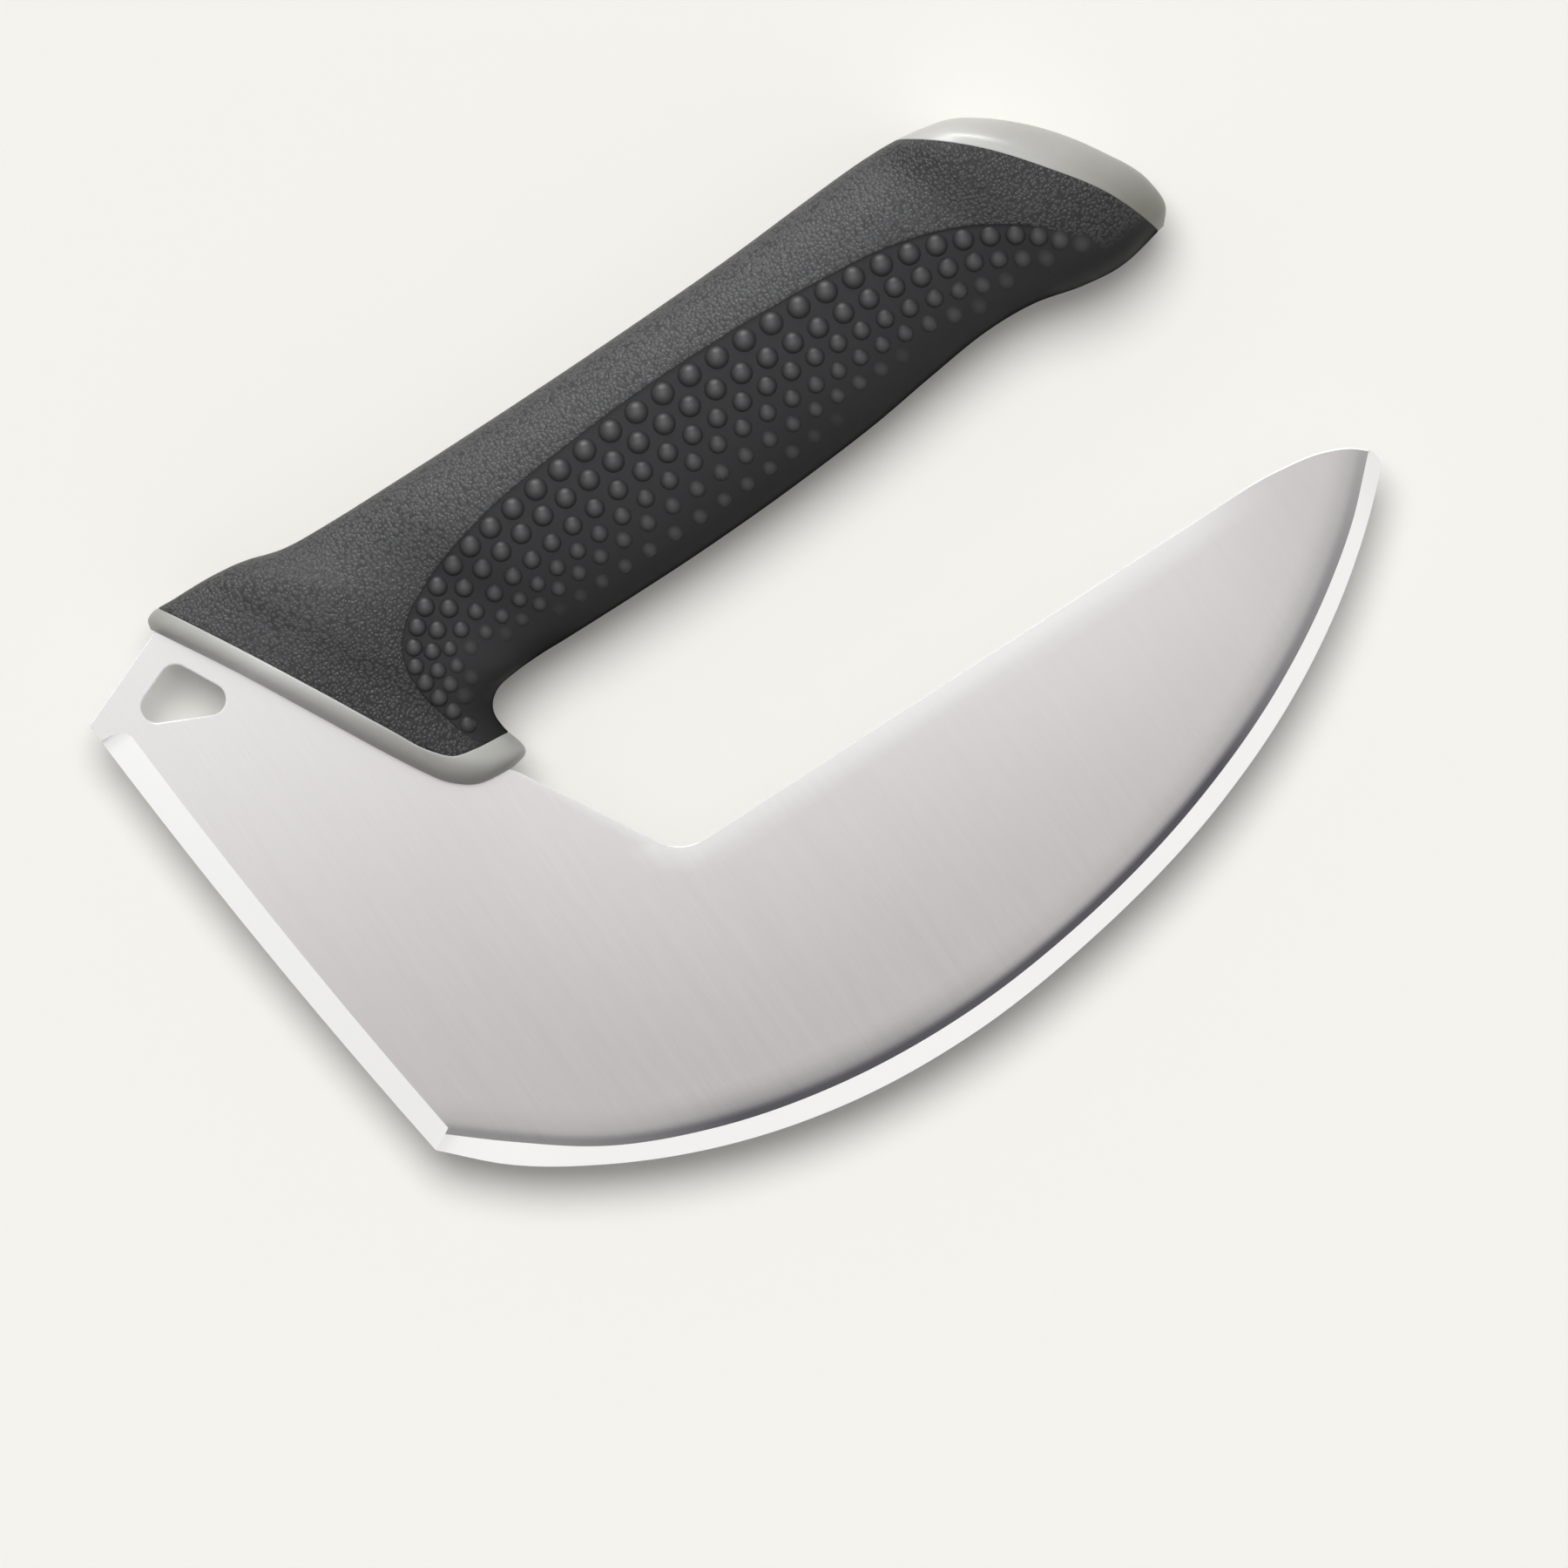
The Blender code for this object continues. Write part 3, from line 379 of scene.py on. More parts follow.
def column_rows(angles, first, last, distances, step):
    """Places along every column: rows at given distances from both ends, and evenly between."""
    dense = np.linspace(0, 1, ROW_SAMPLES)[:, None]
    places = first + (last - first) * dense
    points = handle.at(places, np.broadcast_to(angles, places.shape))
    hops = np.linalg.norm(np.diff(points, axis=0), axis=2)
    run = np.vstack([np.zeros(len(angles)), np.cumsum(hops, axis=0)])
    start, end = distances
    count = max(2, round(float(np.median(run[-1])) / step))
    inner_start = start[-1] if start else 0.0
    inner_end = end[-1] if end else 0.0
    rows = []
    for k in range(len(angles)):
        total = run[-1, k]
        even = inner_start + (total - inner_start - inner_end) * np.linspace(0, 1, count + 1)
        marks = np.concatenate([start[:-1], even, total - np.array(end[:-1][::-1])])
        rows.append(np.interp(marks, run[:, k], places[:, k]))
    return np.array(rows).T


def seam_sink(places, distances):
    """How far each row is sunk where an edge rounds over at a seam."""
    sink = np.zeros(places.shape)
    for rows, end in zip((sink, sink[::-1]), distances):
        for row, d in zip(rows, end):
            if d < SEAM_RADIUS:
                row[:] = math.sqrt(SEAM_RADIUS**2 - (SEAM_RADIUS - d) ** 2) - SEAM_RADIUS
    return sink


def grid_quads(index):
    """Quads between rows of point numbers, each row closed on itself."""
    right = np.roll(index, -1, axis=1)
    return np.stack([index[:-1], index[1:], right[1:], right[:-1]], -1).reshape(-1, 4).tolist()


def sleeve(places, angles, sink):
    """The surface between two seams as a closed body, its rows sunk."""
    grid_a = np.broadcast_to(angles, places.shape)
    points = handle.at(places, grid_a) + handle.normals(places, grid_a) * sink[..., None]
    rows, count = places.shape
    index = np.arange(rows * count).reshape(rows, count)
    faces = grid_quads(index)
    for row, flip in ((index[0], False), (index[-1], True)):
        for k in range(count // 2):
            face = [row[k], row[k + 1], row[(count - k - 1) % count], row[(count - k) % count]]
            face = [int(v) for v in dict.fromkeys(face)]
            faces.append(face[::-1] if flip else face)
    return points.reshape(-1, 3), faces


# Objects and node trees


def add_object(name, data):
    """An object in the scene."""
    thing = bpy.data.objects.new(name, data)
    bpy.context.scene.collection.objects.link(thing)
    return thing


def new_piece(name, vertices, faces, materials, face_materials=None):
    """A mesh object for vertices in the drawing frame."""
    mesh = bpy.data.meshes.new(name)
    mesh.from_pydata((vertices + OFFSET).tolist(), [], faces)
    for material in materials:
        mesh.materials.append(material)
    if face_materials is not None:
        mesh.polygons.foreach_set("material_index", np.array(face_materials, np.int32))
    mesh.validate()
    piece = add_object(name, mesh)
    mesh.shade_smooth()
    return piece


def set_values(piece, name, values):
    """A number for each point, for the material to read."""
    attribute = piece.data.attributes.new(name, "FLOAT", "POINT")
    attribute.data.foreach_set("value", np.asarray(values, np.float32))


class Nodes:
    """A node tree. Inputs are numbers, colours or other nodes' sockets."""

    def __init__(self, tree):
        self.tree = tree

    def add(self, kind, inputs=None, **settings):
        """A new node."""
        node = self.tree.nodes.new(kind)
        for key, value in settings.items():
            setattr(node, key, value)
        for key, value in (inputs or {}).items():
            self.put(node, key, value)
        return node

    def put(self, node, key, value):
        """Sets or links one input."""
        if isinstance(value, bpy.types.NodeSocket):
            self.tree.links.new(value, node.inputs[key])
        else:
            node.inputs[key].default_value = value

    def math(self, operation, a, b=0.0):
        """A calculation with numbers."""
        return self.add("ShaderNodeMath", {0: a, 1: b}, operation=operation).outputs[0]

    def plus(self, a, b):
        return self.math("ADD", a, b)

    def minus(self, a, b):
        return self.math("SUBTRACT", a, b)

    def times(self, a, b):
        return self.math("MULTIPLY", a, b)

    def spread(self, value, amount, base):
        """value * amount + base"""
        return self.plus(base, self.times(value, amount))

    def vector(self, operation, a, b):
        """A calculation with vectors."""
        return self.add("ShaderNodeVectorMath", {0: a, 1: b}, operation=operation).outputs[0]

    def ramp(self, value, low, high, start=0.0, end=1.0):
        """A smooth change from start to end as value goes from low to high."""
        node = self.add(
            "ShaderNodeMapRange",
            {"Value": value, "From Min": low, "From Max": high, "To Min": start, "To Max": end},
            interpolation_type="SMOOTHSTEP",
        )
        return node.outputs["Result"]

    def mix(self, factor, a, b):
        """A mix of two colours."""
        node = self.add("ShaderNodeMix", {0: factor}, data_type="RGBA")
        for key, value in ((6, a), (7, b)):
            self.put(node, key, value if isinstance(value, bpy.types.NodeSocket) else (*value, 1))
        return node.outputs[2]

    def value(self, name):
        """A number that the mesh carries."""
        return self.add("ShaderNodeAttribute", attribute_name=name).outputs["Fac"]

    def place(self, stretch=(1, 1, 1)):
        """The point in the part's frame, stretched along its axes."""
        point = self.add("ShaderNodeTexCoord").outputs["Object"]
        return self.vector("MULTIPLY", point, stretch)

    def noise(self, scale, detail=2.0, roughness=0.5, stretch=(1, 1, 1)):
        """Noise between 0 and 1."""
        inputs = {"Scale": scale, "Detail": detail, "Roughness": roughness}
        inputs["Vector"] = self.place(stretch)
        return self.add("ShaderNodeTexNoise", inputs).outputs["Fac"]


class Finish(Nodes):
    """A material's nodes round its shader."""

    def __init__(self, name):
        self.material = bpy.data.materials.new(name)
        self.material.use_nodes = True
        super().__init__(self.material.node_tree)
        self.shader = self.tree.nodes["Principled BSDF"]

    def set(self, key, value):
        """Sets or links one input of the shader."""
        self.put(self.shader, key, value)

    def bump(self, strength, distance, height):
        """Relief of the surface, seen in its shading."""
        inputs = {"Strength": strength, "Distance": distance, "Height": height}
        self.set("Normal", self.add("ShaderNodeBump", inputs).outputs[0])


# Plastics

# Borders of the smooth zone, faded and crisp (mm), and the painted shadow line of the step along the
# crisp one
SOFT_BORDER = (-1.5, 1.5)
CRISP_BORDER = (-0.10, 0.20)
STEP_SHADOW_AT = 0.12
STEP_SHADOW_FADE = (0.08, 0.26)
STEP_SHADOW_SHARE = 0.75
STEP_SHADOW_COLOUR = (0.010, 0.010, 0.011)

# Leather: bent pebbles with creases between them, the creases painted dark as shade. A pair's second
# tone is for the belly side and both ends, where the grain is deeper and painted darker as shade. A
# relief is strength and height. A noise is its scale, then its detail and roughness where they are
# set
PEBBLE_SCALE = 1450.0
PEBBLE_CHAOS = 0.80
BEND_SCALE = 800.0
PEBBLE_BEND = (0.0006, 0.0006, 0.0006)
CREASE = (0.46, 0.70)
PEBBLE_EDGE = 0.78
SHALLOW = 0.45
CREASE_BREAK = (0.38, 0.55, 0.55, 1.0)
BREAK_NOISE = (900.0, 1.0)
TOP_TONES = ((0.078, 0.078, 0.082), (0.043, 0.043, 0.046))
CREASE_SHADE_TONES = ((0.028, 0.028, 0.030), (0.011, 0.011, 0.012))
WORN_COLOUR = (0.070, 0.070, 0.073)
WORN_SHARE = 0.15
LEATHER_FINE = 0.12
LEATHER_NOISE = 2600.0
SMOOTH_FINE = 0.06
SMOOTH_NOISE = 2200.0
SOFT_RELIEF = (1.0, 0.00026)

CLOUD_NOISE = (55.0, 3.0)
ZONE_TONES = ((0.023, 0.023, 0.025), (0.029, 0.029, 0.031))
# painted light on the dots' tops
DOT_TOP_LIGHT_COLOUR = (0.052, 0.052, 0.056)
# painted shade on the smooth belly, the side turned away from the light
SHADED_BELLY_COLOUR = (0.021, 0.021, 0.022)

# Spreads are an amount and a base
SOFT_ROUGHNESS = (0.12, 0.52)
ROUGHNESS_NOISE = 400.0
LEATHER_SHINE = 0.7
SOFT_SHINE = 0.16
SOFT_GLOSS = (0.12, 0.17)
DOT_GLOSS = 2.0

# painted light and shade: the dark and the light end of the collar's and cap's paleness
HARD_SHADE_TO_LIGHT = ((0.100, 0.096, 0.070), (0.700, 0.698, 0.680))
SPECK_COLOUR = (0.27, 0.27, 0.25)
HARD_CLOUD = 0.10
HARD_NOISE = (90.0, 4.0, 0.6)
SPECK_SHARE = 0.16
SPECK_NOISE = 2400.0
HARD_ROUGHNESS = (0.10, 0.30)
HARD_RELIEF = (0.25, 0.00003)


def pebbles(n):
    """Distance from the middles of the leather's pebbles, in pebbles."""
    inputs = {"Vector": n.place(), "Scale": BEND_SCALE, "Detail": 0.0}
    bend = n.add("ShaderNodeTexNoise", inputs).outputs["Color"]
    bend = n.vector("MULTIPLY", n.vector("SUBTRACT", bend, (0.5, 0.5, 0.5)), PEBBLE_BEND)
    point = n.vector("ADD", n.place(), bend)
    inputs = {"Vector": point, "Scale": PEBBLE_SCALE, "Randomness": PEBBLE_CHAOS}
    return n.add("ShaderNodeTexVoronoi", inputs).outputs["Distance"]


def soft_plastic():
    """Dark soft plastic: leather outside the zone with dots, smooth inside."""
    n = Finish("dark_soft_plastic")
    zone, fade, dot, low, deep_grain_and_shade = map(n.value, ("zone", "fade", "dot", "low", "deep_grain_and_shade"))
    crisp = n.minus(1.0, fade)
    soft_edge = n.times(n.ramp(zone, *SOFT_BORDER), fade)
    crisp_edge = n.times(n.ramp(zone, *CRISP_BORDER), crisp)
    smooth = n.math("MAXIMUM", n.plus(soft_edge, crisp_edge), low)
    grainy = n.minus(1.0, smooth)

    distance = pebbles(n)
    broken = n.ramp(n.noise(*BREAK_NOISE), *CREASE_BREAK)
    # painted shade in the leather's creases
    crease_shade_share = n.times(n.ramp(distance, *CREASE), n.math("MAXIMUM", broken, deep_grain_and_shade))
    depth = n.spread(deep_grain_and_shade, 1 - SHALLOW, SHALLOW)
    raised = n.times(n.ramp(distance, 0.0, PEBBLE_EDGE, 1.0, 0.0), depth)
    leather_height = n.plus(raised, n.times(n.noise(LEATHER_NOISE), LEATHER_FINE))
    smooth_height = n.times(n.noise(SMOOTH_NOISE), SMOOTH_FINE)
    height = n.plus(n.times(leather_height, grainy), n.times(smooth_height, smooth))
    n.bump(*SOFT_RELIEF, height)

    cloudy = n.noise(*CLOUD_NOISE)
    ground = n.mix(cloudy, *ZONE_TONES)
    # painted light: dot tops lighter than their feet and the ground
    ground = n.mix(n.times(dot, dot), ground, DOT_TOP_LIGHT_COLOUR)
    # painted shade: the smooth belly darker
    ground = n.mix(low, ground, SHADED_BELLY_COLOUR)
    # painted shade: the leather darker on the belly side and at both ends, where the grain is also
    # deeper
    top = n.mix(deep_grain_and_shade, *TOP_TONES)
    crease_shade = n.mix(deep_grain_and_shade, *CREASE_SHADE_TONES)
    leather = n.mix(crease_shade_share, top, crease_shade)
    leather = n.mix(n.times(cloudy, WORN_SHARE), leather, WORN_COLOUR)
    colour = n.mix(grainy, ground, leather)
    # painted shadow of the step at the zone's crisp border
    off_step_shadow = n.math("ABSOLUTE", n.minus(zone, STEP_SHADOW_AT))
    line = n.times(n.ramp(off_step_shadow, *STEP_SHADOW_FADE, 1.0, 0.0), crisp)
    n.set("Base Color", n.mix(n.times(line, STEP_SHADOW_SHARE), colour, STEP_SHADOW_COLOUR))

    shine = n.plus(dot, n.times(grainy, LEATHER_SHINE))
    rough = n.spread(n.noise(ROUGHNESS_NOISE), *SOFT_ROUGHNESS)
    n.set("Roughness", n.minus(rough, n.times(shine, SOFT_SHINE)))
    gloss = n.spread(n.plus(grainy, n.times(dot, DOT_GLOSS)), *SOFT_GLOSS)
    gloss = n.times(gloss, n.minus(1.0, n.value("rim")))
    n.set("Specular IOR Level", gloss)
    return n.material


def hard_plastic():
    """Light grey hard plastic of collar and cap, its paleness painted as light and shade."""
    n = Finish("light_grey_plastic")
    cloudy = n.noise(*HARD_NOISE)
    speck = n.noise(SPECK_NOISE)
    # pale carries the painted light and shade of collar and cap
    pale = n.plus(n.value("pale"), n.times(n.minus(cloudy, 0.5), HARD_CLOUD))
    colour = n.mix(pale, *HARD_SHADE_TO_LIGHT)
    n.set("Base Color", n.mix(n.times(speck, SPECK_SHARE), colour, SPECK_COLOUR))
    n.set("Roughness", n.spread(cloudy, *HARD_ROUGHNESS))
    n.bump(*HARD_RELIEF, speck)
    return n.material


# Steel

# The plate's steels: name, pale and dark colour, roughness, metallic share, depth of the streaks,
# and the tints that the mesh's values bring in: painted reflection, highlight and shade
FLAT, GROUND, EDGE = range(3)
STEELS = (
    ("brushed_steel", (0.525, 0.505, 0.524), (0.495, 0.475, 0.494), 0.32, 1.0, 0.15,
     # painted dark reflection (shade) and painted highlight (glow) on the brushed steel
     (("shade", (0.052, 0.052, 0.068)), ("glow", (0.93, 0.93, 0.94)))),
    # ground bands: painted near white with a diffuse share, a painted reflection of the bright
    # surroundings
    ("ground_steel_painted_bright", (0.99, 0.99, 1.0), (0.985, 0.985, 1.0), 0.34, 0.7, 0.0,
     # front: painted shade on the ground bands along the front and at the tip
     (("front", (0.88, 0.88, 0.89)),)),
    # chamfers and hole wall: painted white and mostly diffuse, a painted highlight
    ("edge_steel_painted_bright", (1.0, 1.0, 1.0), (0.97, 0.97, 0.98), 0.30, 0.15, 0.0, ()),
)
# The streaks' noises, fine and broad: scale, detail, roughness and stretch
STREAK_NOISES = ((5200.0, 3.0, 0.6, (1, 0.025, 1)), (700.0, 3.0, 0.6, (1, 0.03, 1)))
STREAK_RANGE = (0.30, 0.70)
FINE_SHARE = 0.6
STREAK_ROUGH = 0.10
STREAK_RELIEF = 0.00001
PATCH_NOISE = (28.0, 3.0)
PATCH_RANGE = (0.35, 0.75)
PATCH_SHARE = 0.35
PATCH_TONE = 0.96


def steel(name, pale, dark, roughness, metallic, streak_depth, painted_tints):
    """Brushed steel, its streaks across the handle's direction."""
    n = Finish(name)
    fine, broad = (n.noise(*noise) for noise in STREAK_NOISES)
    streak = n.plus(n.times(fine, FINE_SHARE), n.times(broad, 1 - FINE_SHARE))
    colour = n.mix(n.ramp(streak, *STREAK_RANGE), dark, pale)
    patch = n.times(n.ramp(n.noise(*PATCH_NOISE), *PATCH_RANGE), PATCH_SHARE)
    colour = n.mix(patch, colour, [PATCH_TONE * c for c in pale])
    # painted reflection, highlight and shade, placed by the mesh's values
    for value, painted_tint in painted_tints:
        colour = n.mix(n.value(value), colour, painted_tint)
    n.set("Base Color", colour)
    n.set("Metallic", metallic)
    rough = roughness - STREAK_ROUGH / 2
    n.set("Roughness", n.spread(streak, STREAK_ROUGH, rough))
    n.bump(streak_depth, STREAK_RELIEF, fine)
    return n.material


# Blade

ROUND_STEPS = 13
FRONT_STEPS = 60
NOSE_STEP = 0.0004
ROOT_STEPS = 24
HOLE_STEPS = 14

# Points in the flat face: a grid, and rows along the rocker from every second point between its ends
FILL_X = (-0.116, 0.094)
FILL_Y = (-0.100, 0.040)
FILL_STEP = 0.0025
FILL_SHIFT = 0.0003
FILL_CLEAR = 0.0008
FILL_TINY = 1e-9
BAND_POINTS = slice(2, -4, 2)
BAND_OFFSETS = (0.0003, 0.0006, 0.0010, 0.0015, 0.0020, 0.0027, 0.0038, 0.0052, 0.0070)
SAME_POINT = 1e-6
BLADE_SHARP = math.radians(5)

# Painted dark reflection along the rocker's ground band (mm): place along the handle, and how
# dark its narrow core and its wide fade are there
DARK_REFLECTION_BAND = (
    (-113, 0.25, 0.15), (-105, 0.38, 0.22), (-90, 0.46, 0.20), (-75, 0.62, 0.32),
    (-62, 0.78, 0.58), (-30, 0.80, 0.55), (-12, 0.86, 0.28), (0, 0.88, 0.20), (40, 0.90, 0.32),
    (58, 0.55, 0.38), (80, 0.30, 0.34), (93, 0.15, 0.25),
)
CORE_FADE = (0.9, 2.5)
WIDE_FADE = (0.0, 7.0)

# Painted highlight along the limb's plain edge (mm): strength and distances of its fade, and where
# it ends.
# Then where the ground bands are painted darker as shade: along the front and at the tip
LIMB_HIGHLIGHT = ((0.25, 0.2, 5.5), (0.07, 8, 40))
LIMB_HIGHLIGHT_END = (55, 80)
FRONT_SHADE_X = (-106, -104)
FRONT_SHADE_Y = (-66, -64)
TIP_SHADE_X = (82, 93)
TIP_SHADE_SHARE = 0.8


def front_line():
    """Points of the ground front edge, a shallow arc, with its band's share and width."""
    start, end = np.array(HEEL_TOP), np.array(FRONT_CORNER)
    length = np.linalg.norm(end - start)
    full = GRIND_START + GRIND_RUN_IN
    turns = np.linspace(0, math.pi / 2, ROUND_STEPS)
    straight = np.linspace(full, length, FRONT_STEPS)[1:-1]
    distances = np.concatenate([[0.0], full - GRIND_RUN_IN * np.cos(turns), straight])
    right = np.array([end[1] - start[1], start[0] - end[0]]) / length
    t = distances[:, None] / length
    line = start + (end - start) * t + right * 4 * FRONT_BOW * t * (1 - t)
    share = np.concatenate([[0.0], np.sin(turns), np.ones(len(straight))])
    width = GRIND_HEEL + (GRIND_CORNER - GRIND_HEEL) * distances / length
    return np.column_stack([line, share, width])


def rocker_line():
    """Points of the ground rocker edge and nose, with its band's share and width."""
    rocker = smooth_line(ROCKER_POINTS, LINE_STEP)
    nose = smooth_line(TIP_POINTS[:3], NOSE_STEP)[1:]
    line = np.vstack([rocker[:, :2], nose])
    width = np.concatenate([rocker[:, 2], np.full(len(nose), ROCKER_POINTS[-1][2])])
    run = run_along(line)
    share = np.clip((run[-1] - run) / GRIND_RUN_OUT, 0, 1)
    return np.column_stack([line, share, width])


def plain_lines():
    """Points of the plain edges: the limb's back with its root, and the tang."""
    back = smooth_line(TIP_POINTS[2:], LINE_STEP)[1:]
    root = fillet(TIP_POINTS[-1], LIMB_ROOT, TANG_SHOULDER, ROOT_RADIUS, ROOT_STEPS)
    half = TANG_WIDTH / 2
    turns = np.linspace(-math.pi / 2, math.pi / 2, ROUND_STEPS)
    tang = np.vstack([
        TANG_SHOULDER,
        (TANG_ROOT_X, TANG_Y - half),
        np.stack([TANG_END_X - half + half * np.cos(turns),
                  TANG_Y + half * np.sin(turns)], 1),
        (TANG_CREST_X, TANG_Y + half),
        HEEL_SHOULDER,
    ])
    return np.vstack([back, root]), tang


def blade_outline():
    """The outline with its tang, the line where the flat face ends, the rim's height, which
    points are ground, and the numbers of front corner, tip and root's end."""
    front, rocker = front_line(), rocker_line()
    limb, tang = plain_lines()
    plain = np.pad(np.vstack([limb, tang]), ((0, 0), (0, 2)))
    rows = np.vstack([front, rocker, plain])
    outline, share, width = rows[:, :2], rows[:, 2], rows[:, 3]
    inset = np.maximum(width * share, PLAIN_CHAMFER)
    rim = BLADE_HALF - PLAIN_CHAMFER
    rim = rim + (EDGE_HALF - rim) * share
    corner = len(front)
    tip = corner + len(rocker) - 1
    root_end = corner + len(rocker) + len(limb)
    inner = inset_line(outline, inset)
    run_out = corner + int(np.nonzero(rocker[:, 2] >= 1)[0][-1])
    for i in range(run_out, tip):
        inner[i] = inner[run_out] + (inner[tip] - inner[run_out]) * (i - run_out) / (tip - run_out)
    return outline, inner, rim, share > 0, (corner, tip, root_end)


def inset_line(outline, widths):
    """A closed outline moved inwards, each point by its own width."""
    before = unit_rows(left_of(outline - np.roll(outline, 1, axis=0)))
    after = unit_rows(left_of(np.roll(outline, -1, axis=0) - outline))
    middle = unit_rows(before + after)
    reach = widths / np.sum(middle * before, axis=1)
    return outline + middle * reach[:, None]


def inside(points, outline):
    """Which points lie inside a closed outline."""
    x, y = points[:, 0], points[:, 1]
    odd = np.zeros(len(points), bool)
    for (x0, y0), (x1, y1) in zip(outline, np.roll(outline, -1, axis=0)):
        crosses = (y0 > y) != (y1 > y)
        where = (x1 - x0) * (y - y0) / (y1 - y0 + NEVER_ZERO) + x0
        odd ^= crosses & (x < where)
    return odd


def fill_points(inner, rocker, hole):
    """Points in the flat face, with rows along the rocker for the painted dark reflection."""
    xs, ys = np.meshgrid(np.arange(*FILL_X, FILL_STEP), np.arange(*FILL_Y, FILL_STEP))
    grid = np.stack([xs.ravel() + FILL_SHIFT * (np.arange(xs.size) % 3), ys.ravel()], 1)
    clear = np.abs(offset_from(grid, rocker)) > BAND_OFFSETS[-1] + FILL_CLEAR
    for line in (inner, hole):
        clear &= np.abs(offset_from(grid, line)) > FILL_CLEAR
    left = unit_rows(left_of(np.gradient(rocker, axis=0)))
    bands = [(rocker + left * d)[BAND_POINTS] for d in BAND_OFFSETS]
    points = np.vstack([grid[clear], *bands])
    return points[inside(points, inner) & ~inside(points, hole)]


def flat_face(outline, hole, extra):
    """Triangles between an outline and a hole, with extra points inside."""
    edges = []
    start = 0
    for loop in (outline, hole):
        count = len(loop)
        edges += [(start + i, start + (i + 1) % count) for i in range(count)]
        start += count
    points = np.vstack([outline, hole, extra])
    made, _, faces, *_ = delaunay_2d_cdt([Vector(p) for p in points], edges, [], 0, FILL_TINY)
    made = np.array([tuple(v) for v in made])
    middles = np.array([made[list(f)].mean(axis=0) for f in faces])
    keep = inside(middles, outline) & ~inside(middles, hole)
    return made, [tuple(f) for f, k in zip(faces, keep) if k]


class Shell:
    """The plate while it is put together. Level points come with one height or one for each."""

    def __init__(self):
        self.points, self.faces, self.kinds = np.empty((0, 3)), [], []

    def add(self, level, height):
        """Adds points and gives the first one's number."""
        start = len(self.points)
        column = np.broadcast_to(height, (len(level),))[:, None]
        self.points = np.vstack([self.points, np.hstack([level, column])])
        return start

    def fill(self, face, triangles, flip=False):
        """A flat face of triangles."""
        start = self.add(*face)
        for triangle in triangles:
            triangle = [start + i for i in triangle]
            self.faces.append(triangle[::-1] if flip else triangle)
            self.kinds.append(FLAT)

    def strip(self, outer, inner, kinds, flip=False):
        """Quads between two closed lines, each with its material."""
        a = self.add(*outer)
        b = self.add(*inner)
        for i in range(len(kinds)):
            j = (i + 1) % len(kinds)
            face = [a + i, a + j, b + j, b + i]
            self.faces.append(face[::-1] if flip else face)
        self.kinds.extend(kinds)


def paint_steel_light_and_shade(piece, level, rocker, limb):
    """Painted light on the steel: a dark reflection along the rocker, a highlight along the limb,
    and shade at front and tip.
    """
    x, y = level[:, 0] / MM, level[:, 1] / MM
    places, core, wide = np.array(DARK_REFLECTION_BAND).T
    from_grind = np.abs(offset_from(level, rocker)) / MM
    core = np.interp(x, places, core) * (1 - smoothstep(from_grind, *CORE_FADE))
    wide = np.interp(x, places, wide) * (1 - smoothstep(from_grind, *WIDE_FADE))
    # shade: painted dark reflection beside the rocker's ground band
    set_values(piece, "shade", 1 - (1 - core) * (1 - wide))
    # front: painted shade on the ground bands along the front and at the tip
    front = (1 - smoothstep(x, *FRONT_SHADE_X)) * smoothstep(y, *FRONT_SHADE_Y)
    set_values(piece, "front", front + TIP_SHADE_SHARE * smoothstep(x, *TIP_SHADE_X))
    from_limb = np.abs(offset_from(level, limb)) / MM
    # glow: painted highlight along the limb's plain edge
    glow = sum(part * (1 - smoothstep(from_limb, *fade)) for part, *fade in LIMB_HIGHLIGHT)
    set_values(piece, "glow", glow * (1 - smoothstep(x, *LIMB_HIGHLIGHT_END)))


def make_blade():
    """The plate: flat faces, ground bands, chamfered plain edges and the hanging hole."""
    outline, inner, rim, ground, (corner, tip, root_end) = blade_outline()
    rocker = inner[corner:tip + 1]
    hole_wall = rounded_hull(HOLE_CORNERS, HOLE_RADIUS, HOLE_STEPS)
    hole_top = rounded_hull(HOLE_CORNERS, HOLE_RADIUS + PLAIN_CHAMFER, HOLE_STEPS)
    flat, triangles = flat_face(inner, hole_top, fill_points(inner, rocker, hole_top))

    shell = Shell()
    shell.fill((flat, BLADE_HALF), triangles)
    shell.fill((flat, -BLADE_HALF), triangles, flip=True)
    border = np.where(ground | np.roll(ground, -1), GROUND, EDGE)
    shell.strip((outline, rim), (inner, BLADE_HALF), border)
    shell.strip((outline, -rim), (inner, -BLADE_HALF), border, flip=True)
    shell.strip((outline, -rim), (outline, rim), border)
    plain = np.full(len(hole_wall), EDGE)
    wall = BLADE_HALF - PLAIN_CHAMFER
    shell.strip((hole_wall, wall), (hole_top, BLADE_HALF), plain, flip=True)
    shell.strip((hole_wall, -wall), (hole_top, -BLADE_HALF), plain)
    shell.strip((hole_wall, -wall), (hole_wall, wall), plain, flip=True)

    steels = [steel(*row) for row in STEELS]
    piece = new_piece("blade_plate", shell.points, shell.faces, steels, shell.kinds)
    paint_steel_light_and_shade(piece, shell.points[:, :2], rocker, inner[tip:root_end])
    bm = bmesh.new()
    bm.from_mesh(piece.data)
    bmesh.ops.remove_doubles(bm, verts=bm.verts, dist=SAME_POINT)
    bmesh.ops.recalc_face_normals(bm, faces=bm.faces)
    bm.to_mesh(piece.data)
    bm.free()
    piece.data.set_sharp_from_angle(angle=BLADE_SHARP)
    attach(piece, "root")
    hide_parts("blade")


# Collar and cap

